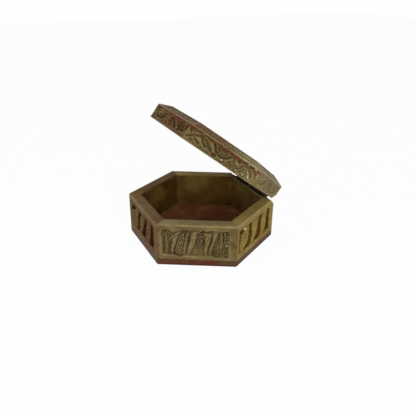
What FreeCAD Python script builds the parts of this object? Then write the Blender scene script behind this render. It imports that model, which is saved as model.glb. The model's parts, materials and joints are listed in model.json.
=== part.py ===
import FreeCAD, Part
import math
import os
import Sketcher

# A six-sided carved stone box with a hinged lid. Lengths are millimetres.
# It stands on Z = 0 around the Z axis, with the hinge along X at the back, towards +Y.
# Every wall is drawn as the front wall, facing -Y, and then turned about Z to its side.
# What swings with the lid is drawn with the lid shut and the hinge axis on X, and then tilted open.

SIZES = {
    # stone box
    "side_long": 50.0,
    "floor_thick": 4.5,
    "wall_tall": 24.4,
    "wall_thick": 7.4,
    # sunk carved panel of each wall
    "panel_deep": 2.4,
    "panel_left": 2.4,
    "panel_right": 4.6,
    "panel_sill": 2.4,
    "panel_head": 3.9,
    "figure_drop": 0.4,
    "crown_drop": 0.9,
    # lid
    "lid_rim_tall": 10.1,
    "bevel_rise": 3.6,
    "bevel_inset": 7.8,
    "seat_gap": 0.2,
    "lid_angle": 38.1,
    # carved band round the lid
    "frieze_deep": 1.2,
    "frieze_border": 0.8,
    "frieze_end": 1.2,
    "vine_drop": 0.2,
    "vine_pitch": 28.0,
    # groove that the hinge barrels lie in
    "groove_leg": 4.2,
    "groove_land": 1.2,
    "barrel_play": 0.12,
    # brass hinges
    "hinge_end": 5.3,
    "hinge_apart": 2.2,
    "leaf_reach": 4.4,
    "leaf_thick": 0.6,
    "mortise_play": 0.1,
    "barrel_dia": 2.5,
    "knuckle_long": 6.2,
    "knuckle_play": 0.15,
    "pin_dia": 1.2,
    "pin_play": 0.04,
    # square nails
    "nail_wide": 0.9,
    "nail_point": 0.5,
    "nail_head_wide": 1.7,
    "nail_head_tall": 0.3,
    "nail_long": 3.2,
    "nail_edge": 1.2,
    "nail_end": 3.2,
    "nail_play": 0.02,
    # how far a cut runs past what it cuts
    "overrun": 2.0,
}

SIDES = 6
TURN = 360 / SIDES

# Distances that follow from the sizes, as formulas of the sheet.
HALF_SIDE = "(sizes.side_long / 2)"
FACE_OUT = "(sizes.side_long * sqrt(3) / 2)"
FACE_IN = f"({FACE_OUT} - sizes.wall_thick)"
RIM_UP = "(sizes.floor_thick + sizes.wall_tall)"
BARREL = "(sizes.barrel_dia / 2)"
HALF_GAP = "(sizes.seat_gap / 2)"
AXIS_IN = f"(sizes.groove_leg + {HALF_GAP} - sqrt(2) * ({BARREL} + sizes.barrel_play))"
AXIS_BACK = f"({FACE_OUT} - {AXIS_IN})"
AXIS_UP = f"({RIM_UP} + {HALF_GAP})"
LID_MIDDLE = f"({AXIS_IN} - {FACE_OUT})"
LID_RIM_UP = f"({HALF_GAP} + sizes.lid_rim_tall)"
PANEL_LOW = "(sizes.floor_thick + sizes.panel_sill)"
PANEL_HIGH = f"({RIM_UP} - sizes.panel_head)"
HINGE_PANEL_HIGH = f"({RIM_UP} - sizes.groove_leg - sizes.groove_land)"
LEAF_LONG = f"({HALF_SIDE} - sizes.hinge_end - sizes.hinge_apart / 2)"
HINGE_ALONG = f"((sizes.hinge_apart + {LEAF_LONG}) / 2)"
NAIL_ALONG = f"({LEAF_LONG} / 2 - sizes.nail_end)"
NAIL_IN = "(sizes.leaf_reach - sizes.nail_edge)"
NAIL_HOLE = "(sizes.nail_wide / 2 + sizes.nail_play)"

# Each wall's name, in order of its turn from the front.
WALLS = (
    "wall_front",
    "wall_front_right",
    "wall_back_right",
    "wall_back",
    "wall_back_left",
    "wall_front_left",
)
HINGE_WALL = WALLS.index("wall_back")

# Carved figures, as shares of the panel's width and height. A stroke of two points is a line and
# one of three is an arc, and the strokes of a figure close it.
FOOT_SHARE = -0.02
FIRST_ELEPHANT_SHARES = (
    ((0.162, FOOT_SHARE), (0.183, 0.46), (0.246, 0.84)),
    ((0.246, 0.84), (0.358, 0.945), (0.469, 0.93)),
    ((0.469, 0.93), (0.512, 0.83), (0.512, 0.66)),
    ((0.512, 0.66), (0.484, 0.32), (0.436, FOOT_SHARE)),
    ((0.436, FOOT_SHARE), (0.392, FOOT_SHARE)),
    ((0.392, FOOT_SHARE), (0.444, 0.76)),
    ((0.444, 0.76), (0.392, 0.50), (0.366, FOOT_SHARE)),
    ((0.366, FOOT_SHARE), (0.330, FOOT_SHARE)),
    ((0.330, FOOT_SHARE), (0.366, 0.66)),
    ((0.366, 0.66), (0.318, 0.79), (0.262, 0.66)),
    ((0.262, 0.66), (0.215, FOOT_SHARE)),
    ((0.215, FOOT_SHARE), (0.162, FOOT_SHARE)),
)
SECOND_ELEPHANT_SHARES = (
    ((0.617, FOOT_SHARE), (0.622, 0.42), (0.654, 0.76)),
    ((0.654, 0.76), (0.722, 0.90), (0.792, 0.85)),
    ((0.792, 0.85), (0.808, 0.70), (0.796, 0.52)),
    ((0.796, 0.52), (0.756, FOOT_SHARE)),
    ((0.756, FOOT_SHARE), (0.718, FOOT_SHARE)),
    ((0.718, FOOT_SHARE), (0.748, 0.74)),
    ((0.748, 0.74), (0.697, 0.46), (0.672, FOOT_SHARE)),
    ((0.672, FOOT_SHARE), (0.617, FOOT_SHARE)),
)
TREE_TRUNK_SHARES = (
    ((0.045, FOOT_SHARE), (0.065, 0.62)),
    ((0.065, 0.62), (0.103, 0.62)),
    ((0.103, 0.62), (0.117, FOOT_SHARE)),
    ((0.117, FOOT_SHARE), (0.045, FOOT_SHARE)),
)
BELL_LEAF_SHARES = (
    ((0.284, 0.64), (0.322, 0.30), (0.300, 0.04)),
    ((0.300, 0.04), (0.262, 0.04)),
    ((0.262, 0.04), (0.251, 0.30), (0.284, 0.64)),
)
BUSH_SHARES = (
    ((0.464, FOOT_SHARE), (0.466, 0.17)),
    ((0.466, 0.17), (0.534, 0.36), (0.602, 0.17)),
    ((0.602, 0.17), (0.604, FOOT_SHARE)),
    ((0.604, FOOT_SHARE), (0.464, FOOT_SHARE)),
)
FRUIT_SPRAY_SHARES = (
    ((0.909, 0.42), (0.909, 0.85)),
    ((0.909, 0.85), (0.945, 0.935), (0.981, 0.85)),
    ((0.981, 0.85), (0.981, 0.42)),
    ((0.981, 0.42), (0.945, 0.335), (0.909, 0.42)),
)
LEAF_STEM_SHARES = (
    ((0.858, 0.80), (0.882, 0.60), (0.862, 0.30)),
    ((0.862, 0.30), (0.838, 0.60), (0.858, 0.80)),
)
ELEPHANT_PANEL = (
    FIRST_ELEPHANT_SHARES,
    SECOND_ELEPHANT_SHARES,
    TREE_TRUNK_SHARES,
    BELL_LEAF_SHARES,
    BUSH_SHARES,
    LEAF_STEM_SHARES,
    FRUIT_SPRAY_SHARES,
)
# Round tree crowns and fruit: across, up and radius, the radius as a share of the height.
ELEPHANT_CROWN_SHARES = (
    (0.090, 0.815, 0.165),
    (0.581, 0.640, 0.105),
    (0.826, 0.155, 0.095),
    (0.939, 0.190, 0.110),
)
# The other panel is a row of tall leaves that lean: foot, belly and tip shares of one leaf.
LEAF_MIDDLE_SHARES = (0.18, 0.485, 0.79)
LEAF_HALF_FOOT_SHARE = 0.104
LEAF_HALF_BELLY_SHARE = 0.128
LEAF_LEAN_SHARE = 0.014
LEAF_BELLY_SHARE = 0.50
LEAF_TIP_SHARE = 0.94
# The lid's carved band, as shares of its height.
VINE_SWING_SHARE = 0.24
VINE_HALF_SHARE = 0.07
ROSETTE_SHARE = 0.36
BUD_SHARE = 0.42
BUD_HALF_SHARE = 0.24
SINK_SHARE = 0.03

document = FreeCAD.newDocument("hexagonal_box")


def make_sheet():
    """Writes the driving sizes into a spreadsheet, each cell under its own name."""
    table = document.addObject("Spreadsheet::Sheet", "sizes")
    for row, (name, size) in enumerate(SIZES.items(), start=1):
        table.set(f"A{row}", name)
        table.set(f"B{row}", str(size))
        table.setAlias(f"B{row}", name)
    document.recompute()
    return table


sheet = make_sheet()


def value(formula):
    """The number that a formula of the sheet gives."""
    return float(sheet.evalExpression(formula))


def turned(axis, angle):
    """The placement that turns a piece about an axis through the origin."""
    return FreeCAD.Placement(FreeCAD.Vector(0, 0, 0), FreeCAD.Rotation(axis, angle))


def new_body(name):
    """An empty body that will be written as one piece."""
    body = document.addObject("PartDesign::Body", name)
    body.Label = name
    return body


def new_sketch(body, name, role, offset=(), turn=0):
    """A sketch on one of the body's planes, moved by formulas and turned about the plane's upright."""
    sketch = body.newObject("Sketcher::SketchObject", f"{body.Label}_{name}")
    plane = next(part for part in body.Origin.OriginFeatures if part.Role == role)
    sketch.AttachmentSupport = [(plane, "")]
    sketch.MapMode = "FlatFace"
    sketch.AttachmentOffset = turned(FreeCAD.Vector(0, 1, 0), turn)
    for direction, formula in zip("xyz", offset):
        sketch.setExpression(f"AttachmentOffset.Base.{direction}", formula)
    return sketch


def pin_point(sketch, line, end, across, up):
    """Holds one end of a line, or a circle's middle, at a place given by two formulas."""
    for kind, formula in (("DistanceX", across), ("DistanceY", up)):
        index = sketch.addConstraint(Sketcher.Constraint(kind, -1, 1, line, end, value(formula)))
        sketch.setExpression(f"Constraints[{index}]", formula)


def draw_polygon(sketch, corners):
    """Closed straight outline with every corner bound to its formulas."""
    points = [FreeCAD.Vector(value(across), value(up), 0) for across, up in corners]
    first = sketch.GeometryCount
    for start, end in zip(points, points[1:] + points[:1]):
        sketch.addGeometry(Part.LineSegment(start, end), False)
    for index, (across, up) in enumerate(corners):
        after = first + (index + 1) % len(corners)
        sketch.addConstraint(Sketcher.Constraint("Coincident", first + index, 2, after, 1))
        pin_point(sketch, first + index, 1, across, up)


def draw_circle(sketch, across, up, radius):
    """Circle whose middle and radius are bound to formulas."""
    middle = FreeCAD.Vector(value(across), value(up), 0)
    upward = FreeCAD.Vector(0, 0, 1)
    circle = sketch.addGeometry(Part.Circle(middle, upward, value(radius)), False)
    pin_point(sketch, circle, 3, across, up)
    index = sketch.addConstraint(Sketcher.Constraint("Radius", circle, value(radius)))
    sketch.setExpression(f"Constraints[{index}]", radius)


def draw_square(sketch, across, up, half):
    """Square whose middle and half width are bound to formulas."""
    left = f"{across} - {half}"
    right = f"{across} + {half}"
    low = f"{up} - {half}"
    high = f"{up} + {half}"
    draw_polygon(sketch, ((left, low), (right, low), (right, high), (left, high)))


def draw_figure(sketch, strokes, place):
    """Closed outline of lines and arcs, with place turning shares into points."""
    for stroke in strokes:
        points = [place(*shares) for shares in stroke]
        edge = Part.LineSegment(*points) if len(points) == 2 else Part.Arc(*points)
        index = sketch.addGeometry(edge, False)
        sketch.addConstraint(Sketcher.Constraint("Block", index))


def pad(body, sketch, length, both_ways=False):
    """Raises a sketch into stone or metal."""
    feature = body.newObject("PartDesign::Pad", sketch.Label + "_pad")
    feature.Profile = sketch
    feature.Midplane = both_ways
    feature.setExpression("Length", length)
    sketch.Visibility = False
    return feature


def pocket(body, sketch, depth, both_ways=False, upward=False):
    """Cuts a sketch out of the stone or metal behind it, or above it, and makes sure that it cut some."""
    document.recompute()
    before = body.Shape.Volume
    feature = body.newObject("PartDesign::Pocket", sketch.Label + "_cut")
    feature.Profile = sketch
    feature.Midplane = both_ways
    feature.Reversed = upward
    feature.setExpression("Length", depth)
    document.recompute()
    if body.Shape.Volume >= before:
        raise ValueError(feature.Label + " cut nothing")
    return feature


def hexagon(side, middle="0"):
    """The corners of a hexagon with a given side, its middle moved along the sketch's upright."""
    half = f"{side} / 2"
    high = f"{middle} + {side} * sqrt(3) / 2"
    low = f"{middle} - {side} * sqrt(3) / 2"
    upper = ((side, middle), (half, high), ("-" + half, high))
    lower = (("-" + side, middle), ("-" + half, low), (half, low))
    return upper + lower


def make_base():
    """The floor slab."""
    body = new_body("base_slab")
    plan = new_sketch(body, "plan", "XY_Plane")
    draw_polygon(plan, hexagon("sizes.side_long"))
    pad(body, plan, "sizes.floor_thick")
    return body


def cut_groove(body, direction):
    """Takes the slanted hinge groove off the rim, where the hinge side lies in the given direction."""
    profile = new_sketch(body, "groove", "XZ_Plane", turn=direction)
    inside = f"{FACE_OUT} - sizes.groove_leg - sizes.overrun"
    outside = f"{FACE_OUT} + sizes.overrun"
    above = f"{RIM_UP} + sizes.overrun"
    below = f"{RIM_UP} - sizes.groove_leg - sizes.overrun"
    draw_polygon(profile, ((inside, above), (outside, below), (outside, above)))
    pocket(body, profile, "sizes.side_long * 2 + sizes.overrun", both_ways=True)


def place_on_panel(high):
    """A function that turns shares of a panel into points of a sketch on the wall's outer face."""
    left = value(f"sizes.panel_left - {HALF_SIDE}")
    right = value(f"{HALF_SIDE} - sizes.panel_right")
    low = value(PANEL_LOW)
    top = value(high)

    def place(across, up):
        return FreeCAD.Vector(left + (right - left) * across, low + (top - low) * up, 0)

    return place


def lean_leaf(middle):
    """One tall leaf that leans towards the right at its top."""
    left_foot = (middle - LEAF_HALF_FOOT_SHARE - LEAF_LEAN_SHARE, FOOT_SHARE)
    right_foot = (middle + LEAF_HALF_FOOT_SHARE - LEAF_LEAN_SHARE, FOOT_SHARE)
    tip = (middle + LEAF_LEAN_SHARE, LEAF_TIP_SHARE)
    left_side = (left_foot, (middle - LEAF_HALF_BELLY_SHARE, LEAF_BELLY_SHARE), tip)
    right_side = (tip, (middle + LEAF_HALF_BELLY_SHARE, LEAF_BELLY_SHARE), right_foot)
    return (left_side, right_side, (right_foot, left_foot))


def carve_panel(body, high, with_elephants):
    """Sinks the panel into the outer face and leaves the figures standing in it."""
    sunk = new_sketch(body, "panel", "XZ_Plane", ("0", "0", FACE_OUT))
    left = f"sizes.panel_left - {HALF_SIDE}"
    right = f"{HALF_SIDE} - sizes.panel_right"
    draw_polygon(sunk, ((left, PANEL_LOW), (right, PANEL_LOW), (right, high), (left, high)))
    pocket(body, sunk, "sizes.panel_deep")
    place = place_on_panel(high)
    bed = ("0", "0", f"{FACE_OUT} - sizes.panel_deep")
    figures = new_sketch(body, "figures", "XZ_Plane", bed)
    shapes = ELEPHANT_PANEL if with_elephants else [lean_leaf(middle) for middle in LEAF_MIDDLE_SHARES]
    for strokes in shapes:
        draw_figure(figures, strokes, place)
    pad(body, figures, "sizes.panel_deep - sizes.figure_drop")
    if with_elephants:
        crowns = new_sketch(body, "crowns", "XZ_Plane", bed)
        for across, up, radius in ELEPHANT_CROWN_SHARES:
            width = f"({right} - ({left}))"
            height = f"({high} - {PANEL_LOW})"
            middle = (f"{left} + {width} * {across}", f"{PANEL_LOW} + {height} * {up}")
            draw_circle(crowns, *middle, f"{height} * {radius}")
        pad(body, crowns, "sizes.panel_deep - sizes.crown_drop")


def make_wall(index):
    """One mitred wall slab with its sunk carved panel."""
    body = new_body(WALLS[index])
    plan = new_sketch(body, "plan", "XY_Plane", ("0", "0", "sizes.floor_thick"))
    inner = f"{HALF_SIDE} * {FACE_IN} / {FACE_OUT}"
    draw_polygon(plan, (
        ("-" + HALF_SIDE, "-" + FACE_OUT),
        (HALF_SIDE, "-" + FACE_OUT),
        (inner, "-" + FACE_IN),
        ("-" + inner, "-" + FACE_IN),
    ))
    pad(body, plan, "sizes.wall_tall")
    beside_hinge = abs(index - HINGE_WALL) <= 1
    if beside_hinge:
        cut_groove(body, TURN * (HINGE_WALL - index) - 90)
    carve_panel(body, HINGE_PANEL_HIGH if index == HINGE_WALL else PANEL_HIGH, index % 2 == 1)
    if index == HINGE_WALL:
        for side in (-1, 1):
            cut_wall_mortise(body, side)
    body.Placement = turned(FreeCAD.Vector(0, 0, 1), TURN * index)
    return body


def mortise_corners(side, reach, back):
    """The plan of the bed that a leaf lies in, on the side of the hinge wall that is given."""
    half = f"({LEAF_LONG} / 2 + sizes.mortise_play)"
    near = f"{side} * {HINGE_ALONG} - {half}"
    far = f"{side} * {HINGE_ALONG} + {half}"
    return ((near, reach), (far, reach), (far, back), (near, back))


def cut_wall_mortise(body, side):
    """Beds one hinge leaf in the rim of the hinge wall, with its two square nail holes."""
    reach = f"-({AXIS_BACK} - sizes.leaf_reach - sizes.mortise_play)"
    back = f"-({FACE_OUT} + sizes.overrun)"
    bed = new_sketch(body, f"bed_{side + 1}", "XY_Plane", ("0", "0", RIM_UP))
    draw_polygon(bed, mortise_corners(side, reach, back))
    pocket(body, bed, "sizes.leaf_thick")
    holes = new_sketch(body, f"holes_{side + 1}", "XY_Plane", ("0", "0", RIM_UP))
    for step in (-1, 1):
        across = f"{side} * {HINGE_ALONG} + {step} * {NAIL_ALONG}"
        draw_square(holes, across, f"{NAIL_IN} - {AXIS_BACK}", NAIL_HOLE)
    pocket(body, holes, "sizes.nail_long + sizes.nail_play")


def side_sketch(body, name, index, deep="0"):
    """A sketch on one side of the lid, facing outwards, with its upright along Z."""
    around = TURN * index - 90
    out = f"({FACE_OUT} - {deep})"
    offset = (f"{out} * cos({around})", "0", f"-({LID_MIDDLE} + {out} * sin({around}))")
    return new_sketch(body, f"{name}_{index}", "XZ_Plane", offset, turn=TURN * index)


def vine_strokes(reach, middle, tall, crest_first):
    """The wavy stem of a band, from -reach to reach, as arcs that swap sides where the wave crosses."""
    first = 1 if crest_first else -1
    quarter = value("sizes.vine_pitch / 4")
    swing = VINE_SWING_SHARE * tall
    radius = (quarter ** 2 + swing ** 2) / (2 * swing)

    def point(bend, across, lift):
        side = -first if bend % 2 else first
        centre = bend * 2 * quarter
        slant = math.asin((across - centre) / radius)
        span = radius + side * lift
        return (centre + span * math.sin(slant), middle + side * (span * math.cos(slant) - radius + swing))

    def edge(lift):
        last = round(reach / (2 * quarter))
        strokes = []
        for bend in range(-last, last + 1):
            start = max(-reach, (2 * bend - 1) * quarter)
            end = min(reach, (2 * bend + 1) * quarter)
            strokes.append([point(bend, across, lift) for across in (start, (start + end) / 2, end)])
        return strokes

    upper = edge(VINE_HALF_SHARE * tall)
    lower = [stroke[::-1] for stroke in edge(-VINE_HALF_SHARE * tall)[::-1]]
    ends = [(upper[-1][-1], lower[0][0]), (lower[-1][-1], upper[0][0])]
    return upper + lower + ends


def rosette_strokes(middle, edge, radius, sink):
    """Half a rosette that hangs from the band's upper edge, over a trough of the vine."""
    start = (middle - radius, edge + sink)
    end = (middle + radius, edge + sink)
    return ((start, (middle, edge - radius), end), (end, start))


def bud_strokes(middle, edge, tall, half, sink):
    """A pointed bud that stands on the band's lower edge, under a crest of the vine."""
    foot = edge - sink
    shoulder = edge + tall / 2
    left = ((middle - half, foot), (middle - half, shoulder))
    right = ((middle + half, shoulder), (middle + half, foot))
    corners = left + ((middle, edge + tall),) + right
    return tuple(zip(corners, corners[1:] + corners[:1]))


def carve_band(body, index):
    """Sinks the carved band into one side of the lid, with its vine, half rosettes and buds.

    The vine's middle bend is a crest on every other side and a trough on the sides between.
    """
    low = f"({HALF_GAP} + sizes.frieze_border)"
    if index == HINGE_WALL:
        low = f"({HALF_GAP} + sizes.groove_leg + sizes.frieze_border)"
    high = f"({LID_RIM_UP} - sizes.frieze_border)"
    left = f"(sizes.frieze_end - {HALF_SIDE})"
    right = f"({HALF_SIDE} - sizes.frieze_end)"
    sunk = side_sketch(body, "band", index)
    draw_polygon(sunk, ((left, low), (right, low), (right, high), (left, high)))
    pocket(body, sunk, "sizes.frieze_deep")
    bottom = value(low)
    top = value(high)
    tall = top - bottom
    sink = SINK_SHARE * tall
    bend = value("sizes.vine_pitch / 2")
    crest_first = index % 2 == 0
    crests = (0,) if crest_first else (-bend, bend)
    troughs = (-bend, bend) if crest_first else (0,)
    figures = side_sketch(body, "vine", index, "sizes.frieze_deep")
    shapes = [vine_strokes(value(right) + sink, (bottom + top) / 2, tall, crest_first)]
    for middle in troughs:
        shapes.append(rosette_strokes(middle, top, ROSETTE_SHARE * tall, sink))
    for middle in crests:
        shapes.append(bud_strokes(middle, bottom, BUD_SHARE * tall, BUD_HALF_SHARE * tall, sink))
    for strokes in shapes:
        draw_figure(figures, strokes, lambda across, up: FreeCAD.Vector(across, up, 0))
    pad(body, figures, "sizes.frieze_deep - sizes.vine_drop")


def tilt_open(body, across="0"):
    """Moves a piece that swings from the hinge axis to its place on the open lid."""
    body.Placement = turned(FreeCAD.Vector(-1, 0, 0), SIZES["lid_angle"])
    seat_on_axis(body, across)


def seat_on_axis(body, across):
    """Moves a piece that was drawn round the hinge axis out to the hinge."""
    body.setExpression("Placement.Base.x", across)
    body.setExpression("Placement.Base.y", AXIS_BACK)
    body.setExpression("Placement.Base.z", AXIS_UP)


def make_lid():
    """The lid slab: a straight carved side, a bevel above it and the other half of the hinge groove."""
    body = new_body("lid_slab")
    plan = new_sketch(body, "plan", "XY_Plane", ("0", "0", HALF_GAP))
    draw_polygon(plan, hexagon("sizes.side_long", LID_MIDDLE))
    pad(body, plan, "sizes.lid_rim_tall")
    shoulder = new_sketch(body, "shoulder", "XY_Plane", ("0", "0", LID_RIM_UP))
    draw_polygon(shoulder, hexagon("sizes.side_long", LID_MIDDLE))
    crown = new_sketch(body, "crown", "XY_Plane", ("0", "0", f"{LID_RIM_UP} + sizes.bevel_rise"))
    draw_polygon(crown, hexagon("(sizes.side_long - sizes.bevel_inset * 2 / sqrt(3))", LID_MIDDLE))
    bevel = body.newObject("PartDesign::AdditiveLoft", "lid_bevel")
    bevel.Profile = shoulder
    bevel.Sections = [crown]
    bevel.Ruled = True
    groove = new_sketch(body, "groove", "XZ_Plane", turn=90)
    inside = f"{AXIS_IN} - sizes.groove_leg - sizes.overrun"
    outside = f"{AXIS_IN} + sizes.overrun"
    above = f"{HALF_GAP} + sizes.groove_leg + sizes.overrun"
    below = f"{HALF_GAP} - sizes.overrun"
    draw_polygon(groove, ((inside, below), (outside, below), (outside, above)))
    pocket(body, groove, "sizes.side_long * 2 + sizes.overrun", both_ways=True)
    for index in range(SIDES):
        carve_band(body, index)
    for side in (-1, 1):
        cut_lid_mortise(body, side)
    tilt_open(body)
    return body


def cut_lid_mortise(body, side):
    """Beds one hinge leaf in the lid's underside, with its two square nail holes."""
    reach = "-(sizes.leaf_reach + sizes.mortise_play)"
    back = f"{AXIS_IN} + sizes.overrun"
    bed = new_sketch(body, f"bed_{side + 1}", "XY_Plane", ("0", "0", f"{HALF_GAP} - sizes.overrun"))
    draw_polygon(bed, mortise_corners(side, reach, back))
    pocket(body, bed, "sizes.overrun + sizes.leaf_thick", upward=True)
    holes = new_sketch(body, f"holes_{side + 1}", "XY_Plane", ("0", "0", HALF_GAP))
    for step in (-1, 1):
        across = f"{side} * {HINGE_ALONG} + {step} * {NAIL_ALONG}"
        draw_square(holes, across, f"-{NAIL_IN}", NAIL_HOLE)
    pocket(body, holes, "sizes.nail_long + sizes.nail_play", upward=True)


def make_leaf(name, upward, side):
    """One leaf of a hinge, drawn round the axis: the plate, its knuckles and two square nail holes."""
    body = new_body(name)
    barrel = new_sketch(body, "barrel", "YZ_Plane")
    draw_circle(barrel, "0", "0", BARREL)
    pad(body, barrel, LEAF_LONG, both_ways=True)
    plate = new_sketch(body, "plate", "YZ_Plane")
    near = f"{upward} * {HALF_GAP}"
    far = f"{upward} * ({HALF_GAP} + sizes.leaf_thick)"
    draw_polygon(plate, (("-sizes.leaf_reach", near), ("0", near), ("0", far), ("-sizes.leaf_reach", far)))
    pad(body, plate, LEAF_LONG, both_ways=True)
    notch = f"-({BARREL} + sizes.barrel_play)"
    clear = f"({BARREL} + sizes.overrun)"
    half = f"({LEAF_LONG} / 2)"
    middle = "(sizes.knuckle_long / 2 + sizes.knuckle_play / 2)"
    gaps = new_sketch(body, "gaps", "XY_Plane", ("0", "0", f"-{clear}"))
    if upward > 0:
        inner = "(sizes.knuckle_long / 2 - sizes.knuckle_play / 2)"
        end = f"({half} + sizes.overrun)"
        for near, far in ((inner, end), ("-" + end, "-" + inner)):
            draw_polygon(gaps, ((near, notch), (far, notch), (far, clear), (near, clear)))
    else:
        draw_polygon(gaps, (("-" + middle, notch), (middle, notch), (middle, clear), ("-" + middle, clear)))
    pocket(body, gaps, f"{clear} * 2", upward=True)
    bore = new_sketch(body, "bore", "YZ_Plane")
    draw_circle(bore, "0", "0", "sizes.pin_dia / 2 + sizes.pin_play")
    pocket(body, bore, f"{LEAF_LONG} + sizes.overrun", both_ways=True)
    sink_nail_holes(body, upward)
    across = f"{side} * {HINGE_ALONG}"
    if upward > 0:
        tilt_open(body, across)
    else:
        seat_on_axis(body, across)
    return body


def sink_nail_holes(body, upward):
    """Two square holes through a leaf, each with a bed for the nail's head in the face between the leaves."""
    heads = new_sketch(body, "heads", "XY_Plane", ("0", "0", f"{upward} * {HALF_GAP}"))
    shanks = new_sketch(body, "shanks", "XY_Plane", ("0", "0", f"{upward} * {HALF_GAP}"))
    for step in (-1, 1):
        across = f"{step} * {NAIL_ALONG}"
        draw_square(heads, across, f"-{NAIL_IN}", "(sizes.nail_head_wide / 2 + sizes.nail_play)")
        draw_square(shanks, across, f"-{NAIL_IN}", NAIL_HOLE)
    pocket(body, heads, "sizes.nail_head_tall", upward=upward > 0)
    pocket(body, shanks, "sizes.leaf_thick + sizes.overrun", upward=upward > 0)


def make_pin(name, side):
    """The hinge pin: a length of brass wire, filed flush with the knuckles at both ends."""
    body = new_body(name)
    wire = new_sketch(body, "wire", "YZ_Plane")
    draw_circle(wire, "0", "0", "sizes.pin_dia / 2")
    pad(body, wire, LEAF_LONG, both_ways=True)
    seat_on_axis(body, f"{side} * {HINGE_ALONG}")
    return body


def make_nails(name, upward):
    """The four nails of two leaves, in one group."""
    nails = []
    for side in (-1, 1):
        for step in (-1, 1):
            nails.append(make_nail(f"{name}_{len(nails)}", upward, side, step))
    group = document.addObject("Part::Compound", name)
    group.Label = name
    group.Links = nails
    if upward > 0:
        tilt_open(group)
    else:
        seat_on_axis(group, "0")
    return group


def make_nail(name, upward, side, step):
    """One hand-cut nail, drawn upright: a flat square head and a square shank that narrows to its point."""
    head = document.addObject("Part::Box", name + "_head")
    head.setExpression("Length", "sizes.nail_head_wide")
    head.setExpression("Width", "sizes.nail_head_wide")
    head.setExpression("Height", "sizes.nail_head_tall")
    head.setExpression("Placement.Base.x", "-sizes.nail_head_wide / 2")
    head.setExpression("Placement.Base.y", "-sizes.nail_head_wide / 2")
    shank = document.addObject("Part::Wedge", name + "_shank")
    shank.setExpression("Ymin", "0")
    shank.setExpression("Ymax", "sizes.nail_long")
    for direction in "XZ":
        shank.setExpression(f"{direction}min", "-sizes.nail_wide / 2")
        shank.setExpression(f"{direction}max", "sizes.nail_wide / 2")
        shank.setExpression(f"{direction}2min", "-sizes.nail_point / 2")
        shank.setExpression(f"{direction}2max", "sizes.nail_point / 2")
    shank.Placement = turned(FreeCAD.Vector(1, 0, 0), 90)
    nail = document.addObject("Part::Fuse", name)
    nail.Base = head
    nail.Tool = shank
    nail.Placement = turned(FreeCAD.Vector(1, 0, 0), 0 if upward > 0 else 180)
    nail.setExpression("Placement.Base.x", f"{side} * {HINGE_ALONG} + {step} * {NAIL_ALONG}")
    nail.setExpression("Placement.Base.y", f"-{NAIL_IN}")
    nail.setExpression("Placement.Base.z", f"{upward} * {HALF_GAP}")
    return nail


def check_and_write(pieces):
    """Makes sure that every object and piece is sound, and writes each piece to its own file."""
    document.recompute()
    for part in document.Objects:
        if "Invalid" in part.State or "Error" in part.State:
            raise ValueError(f"{part.Label} failed: {part.State}")
    for piece in pieces:
        if piece.Shape.isNull() or not piece.Shape.isValid():
            raise ValueError(piece.Label + " has no sound shape")
    os.makedirs("parts", exist_ok=True)
    for piece in pieces:
        piece.Shape.exportStep(f"parts/{piece.Label}.step")
        print(piece.Label, len(piece.Shape.Solids), "solid,", round(piece.Shape.Volume, 1), "mm3")


def make_all():
    """Every piece of the box, in the order of putting it together."""
    pieces = [make_base()]
    pieces += [make_wall(index) for index in range(SIDES)]
    pieces.append(make_lid())
    for side, hand in ((-1, "left"), (1, "right")):
        pieces.append(make_leaf(f"hinge_{hand}_box_leaf", -1, side))
        pieces.append(make_leaf(f"hinge_{hand}_lid_leaf", 1, side))
        pieces.append(make_pin(f"hinge_{hand}_pin", side))
    pieces.append(make_nails("box_hinge_nails", -1))
    pieces.append(make_nails("lid_hinge_nails", 1))
    return pieces


check_and_write(make_all())
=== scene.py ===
"""A carved soapstone box with six sides and a hinged lid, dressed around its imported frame.

Carving is worked out in millimetres, on flat grids, and the meshes are written in metres.
"""

import json
import logging
import math
from dataclasses import dataclass
from enum import Enum

import bpy
import numpy as np
from mathutils import Matrix, Vector


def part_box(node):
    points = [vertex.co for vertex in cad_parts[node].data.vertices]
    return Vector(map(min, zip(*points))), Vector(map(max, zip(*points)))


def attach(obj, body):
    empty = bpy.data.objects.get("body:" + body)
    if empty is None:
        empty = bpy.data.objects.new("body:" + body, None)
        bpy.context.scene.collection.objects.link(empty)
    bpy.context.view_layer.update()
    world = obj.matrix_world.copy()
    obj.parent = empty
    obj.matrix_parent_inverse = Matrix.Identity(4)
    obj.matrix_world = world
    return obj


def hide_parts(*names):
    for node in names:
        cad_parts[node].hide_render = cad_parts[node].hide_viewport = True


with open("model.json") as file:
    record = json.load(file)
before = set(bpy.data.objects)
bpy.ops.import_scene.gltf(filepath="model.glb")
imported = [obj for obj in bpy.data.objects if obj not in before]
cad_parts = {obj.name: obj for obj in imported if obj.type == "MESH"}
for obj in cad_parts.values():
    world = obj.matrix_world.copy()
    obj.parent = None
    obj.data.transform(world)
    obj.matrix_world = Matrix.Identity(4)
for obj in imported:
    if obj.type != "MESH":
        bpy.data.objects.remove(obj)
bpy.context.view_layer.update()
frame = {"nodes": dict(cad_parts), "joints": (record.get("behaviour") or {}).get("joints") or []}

MM = 0.001
SIDES = 6
HINGE_SIDE = SIDES // 2
TAN_MITRE = math.tan(math.pi / SIDES)
FIELD_TALL = 18.1  # height of a wall's field as its figures are drawn, in millimetres
WAVES = 5  # waves that make up each slow unevenness
WAVE_SPREAD = (0.6, 1.6)  # shortest and longest of them, as shares of their usual length
WAVES_TALL = 3.0  # what they seldom pass together
BEAD_ROWS = 0.87  # distance between rows of struck beads, as a share of their pitch
SHARP_EDGE = math.radians(52)
Grid = np.ndarray
Pair = tuple[float, float]
Triple = tuple[float, float, float]
Discs = tuple[Triple, ...]  # each across, up and radius
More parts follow.
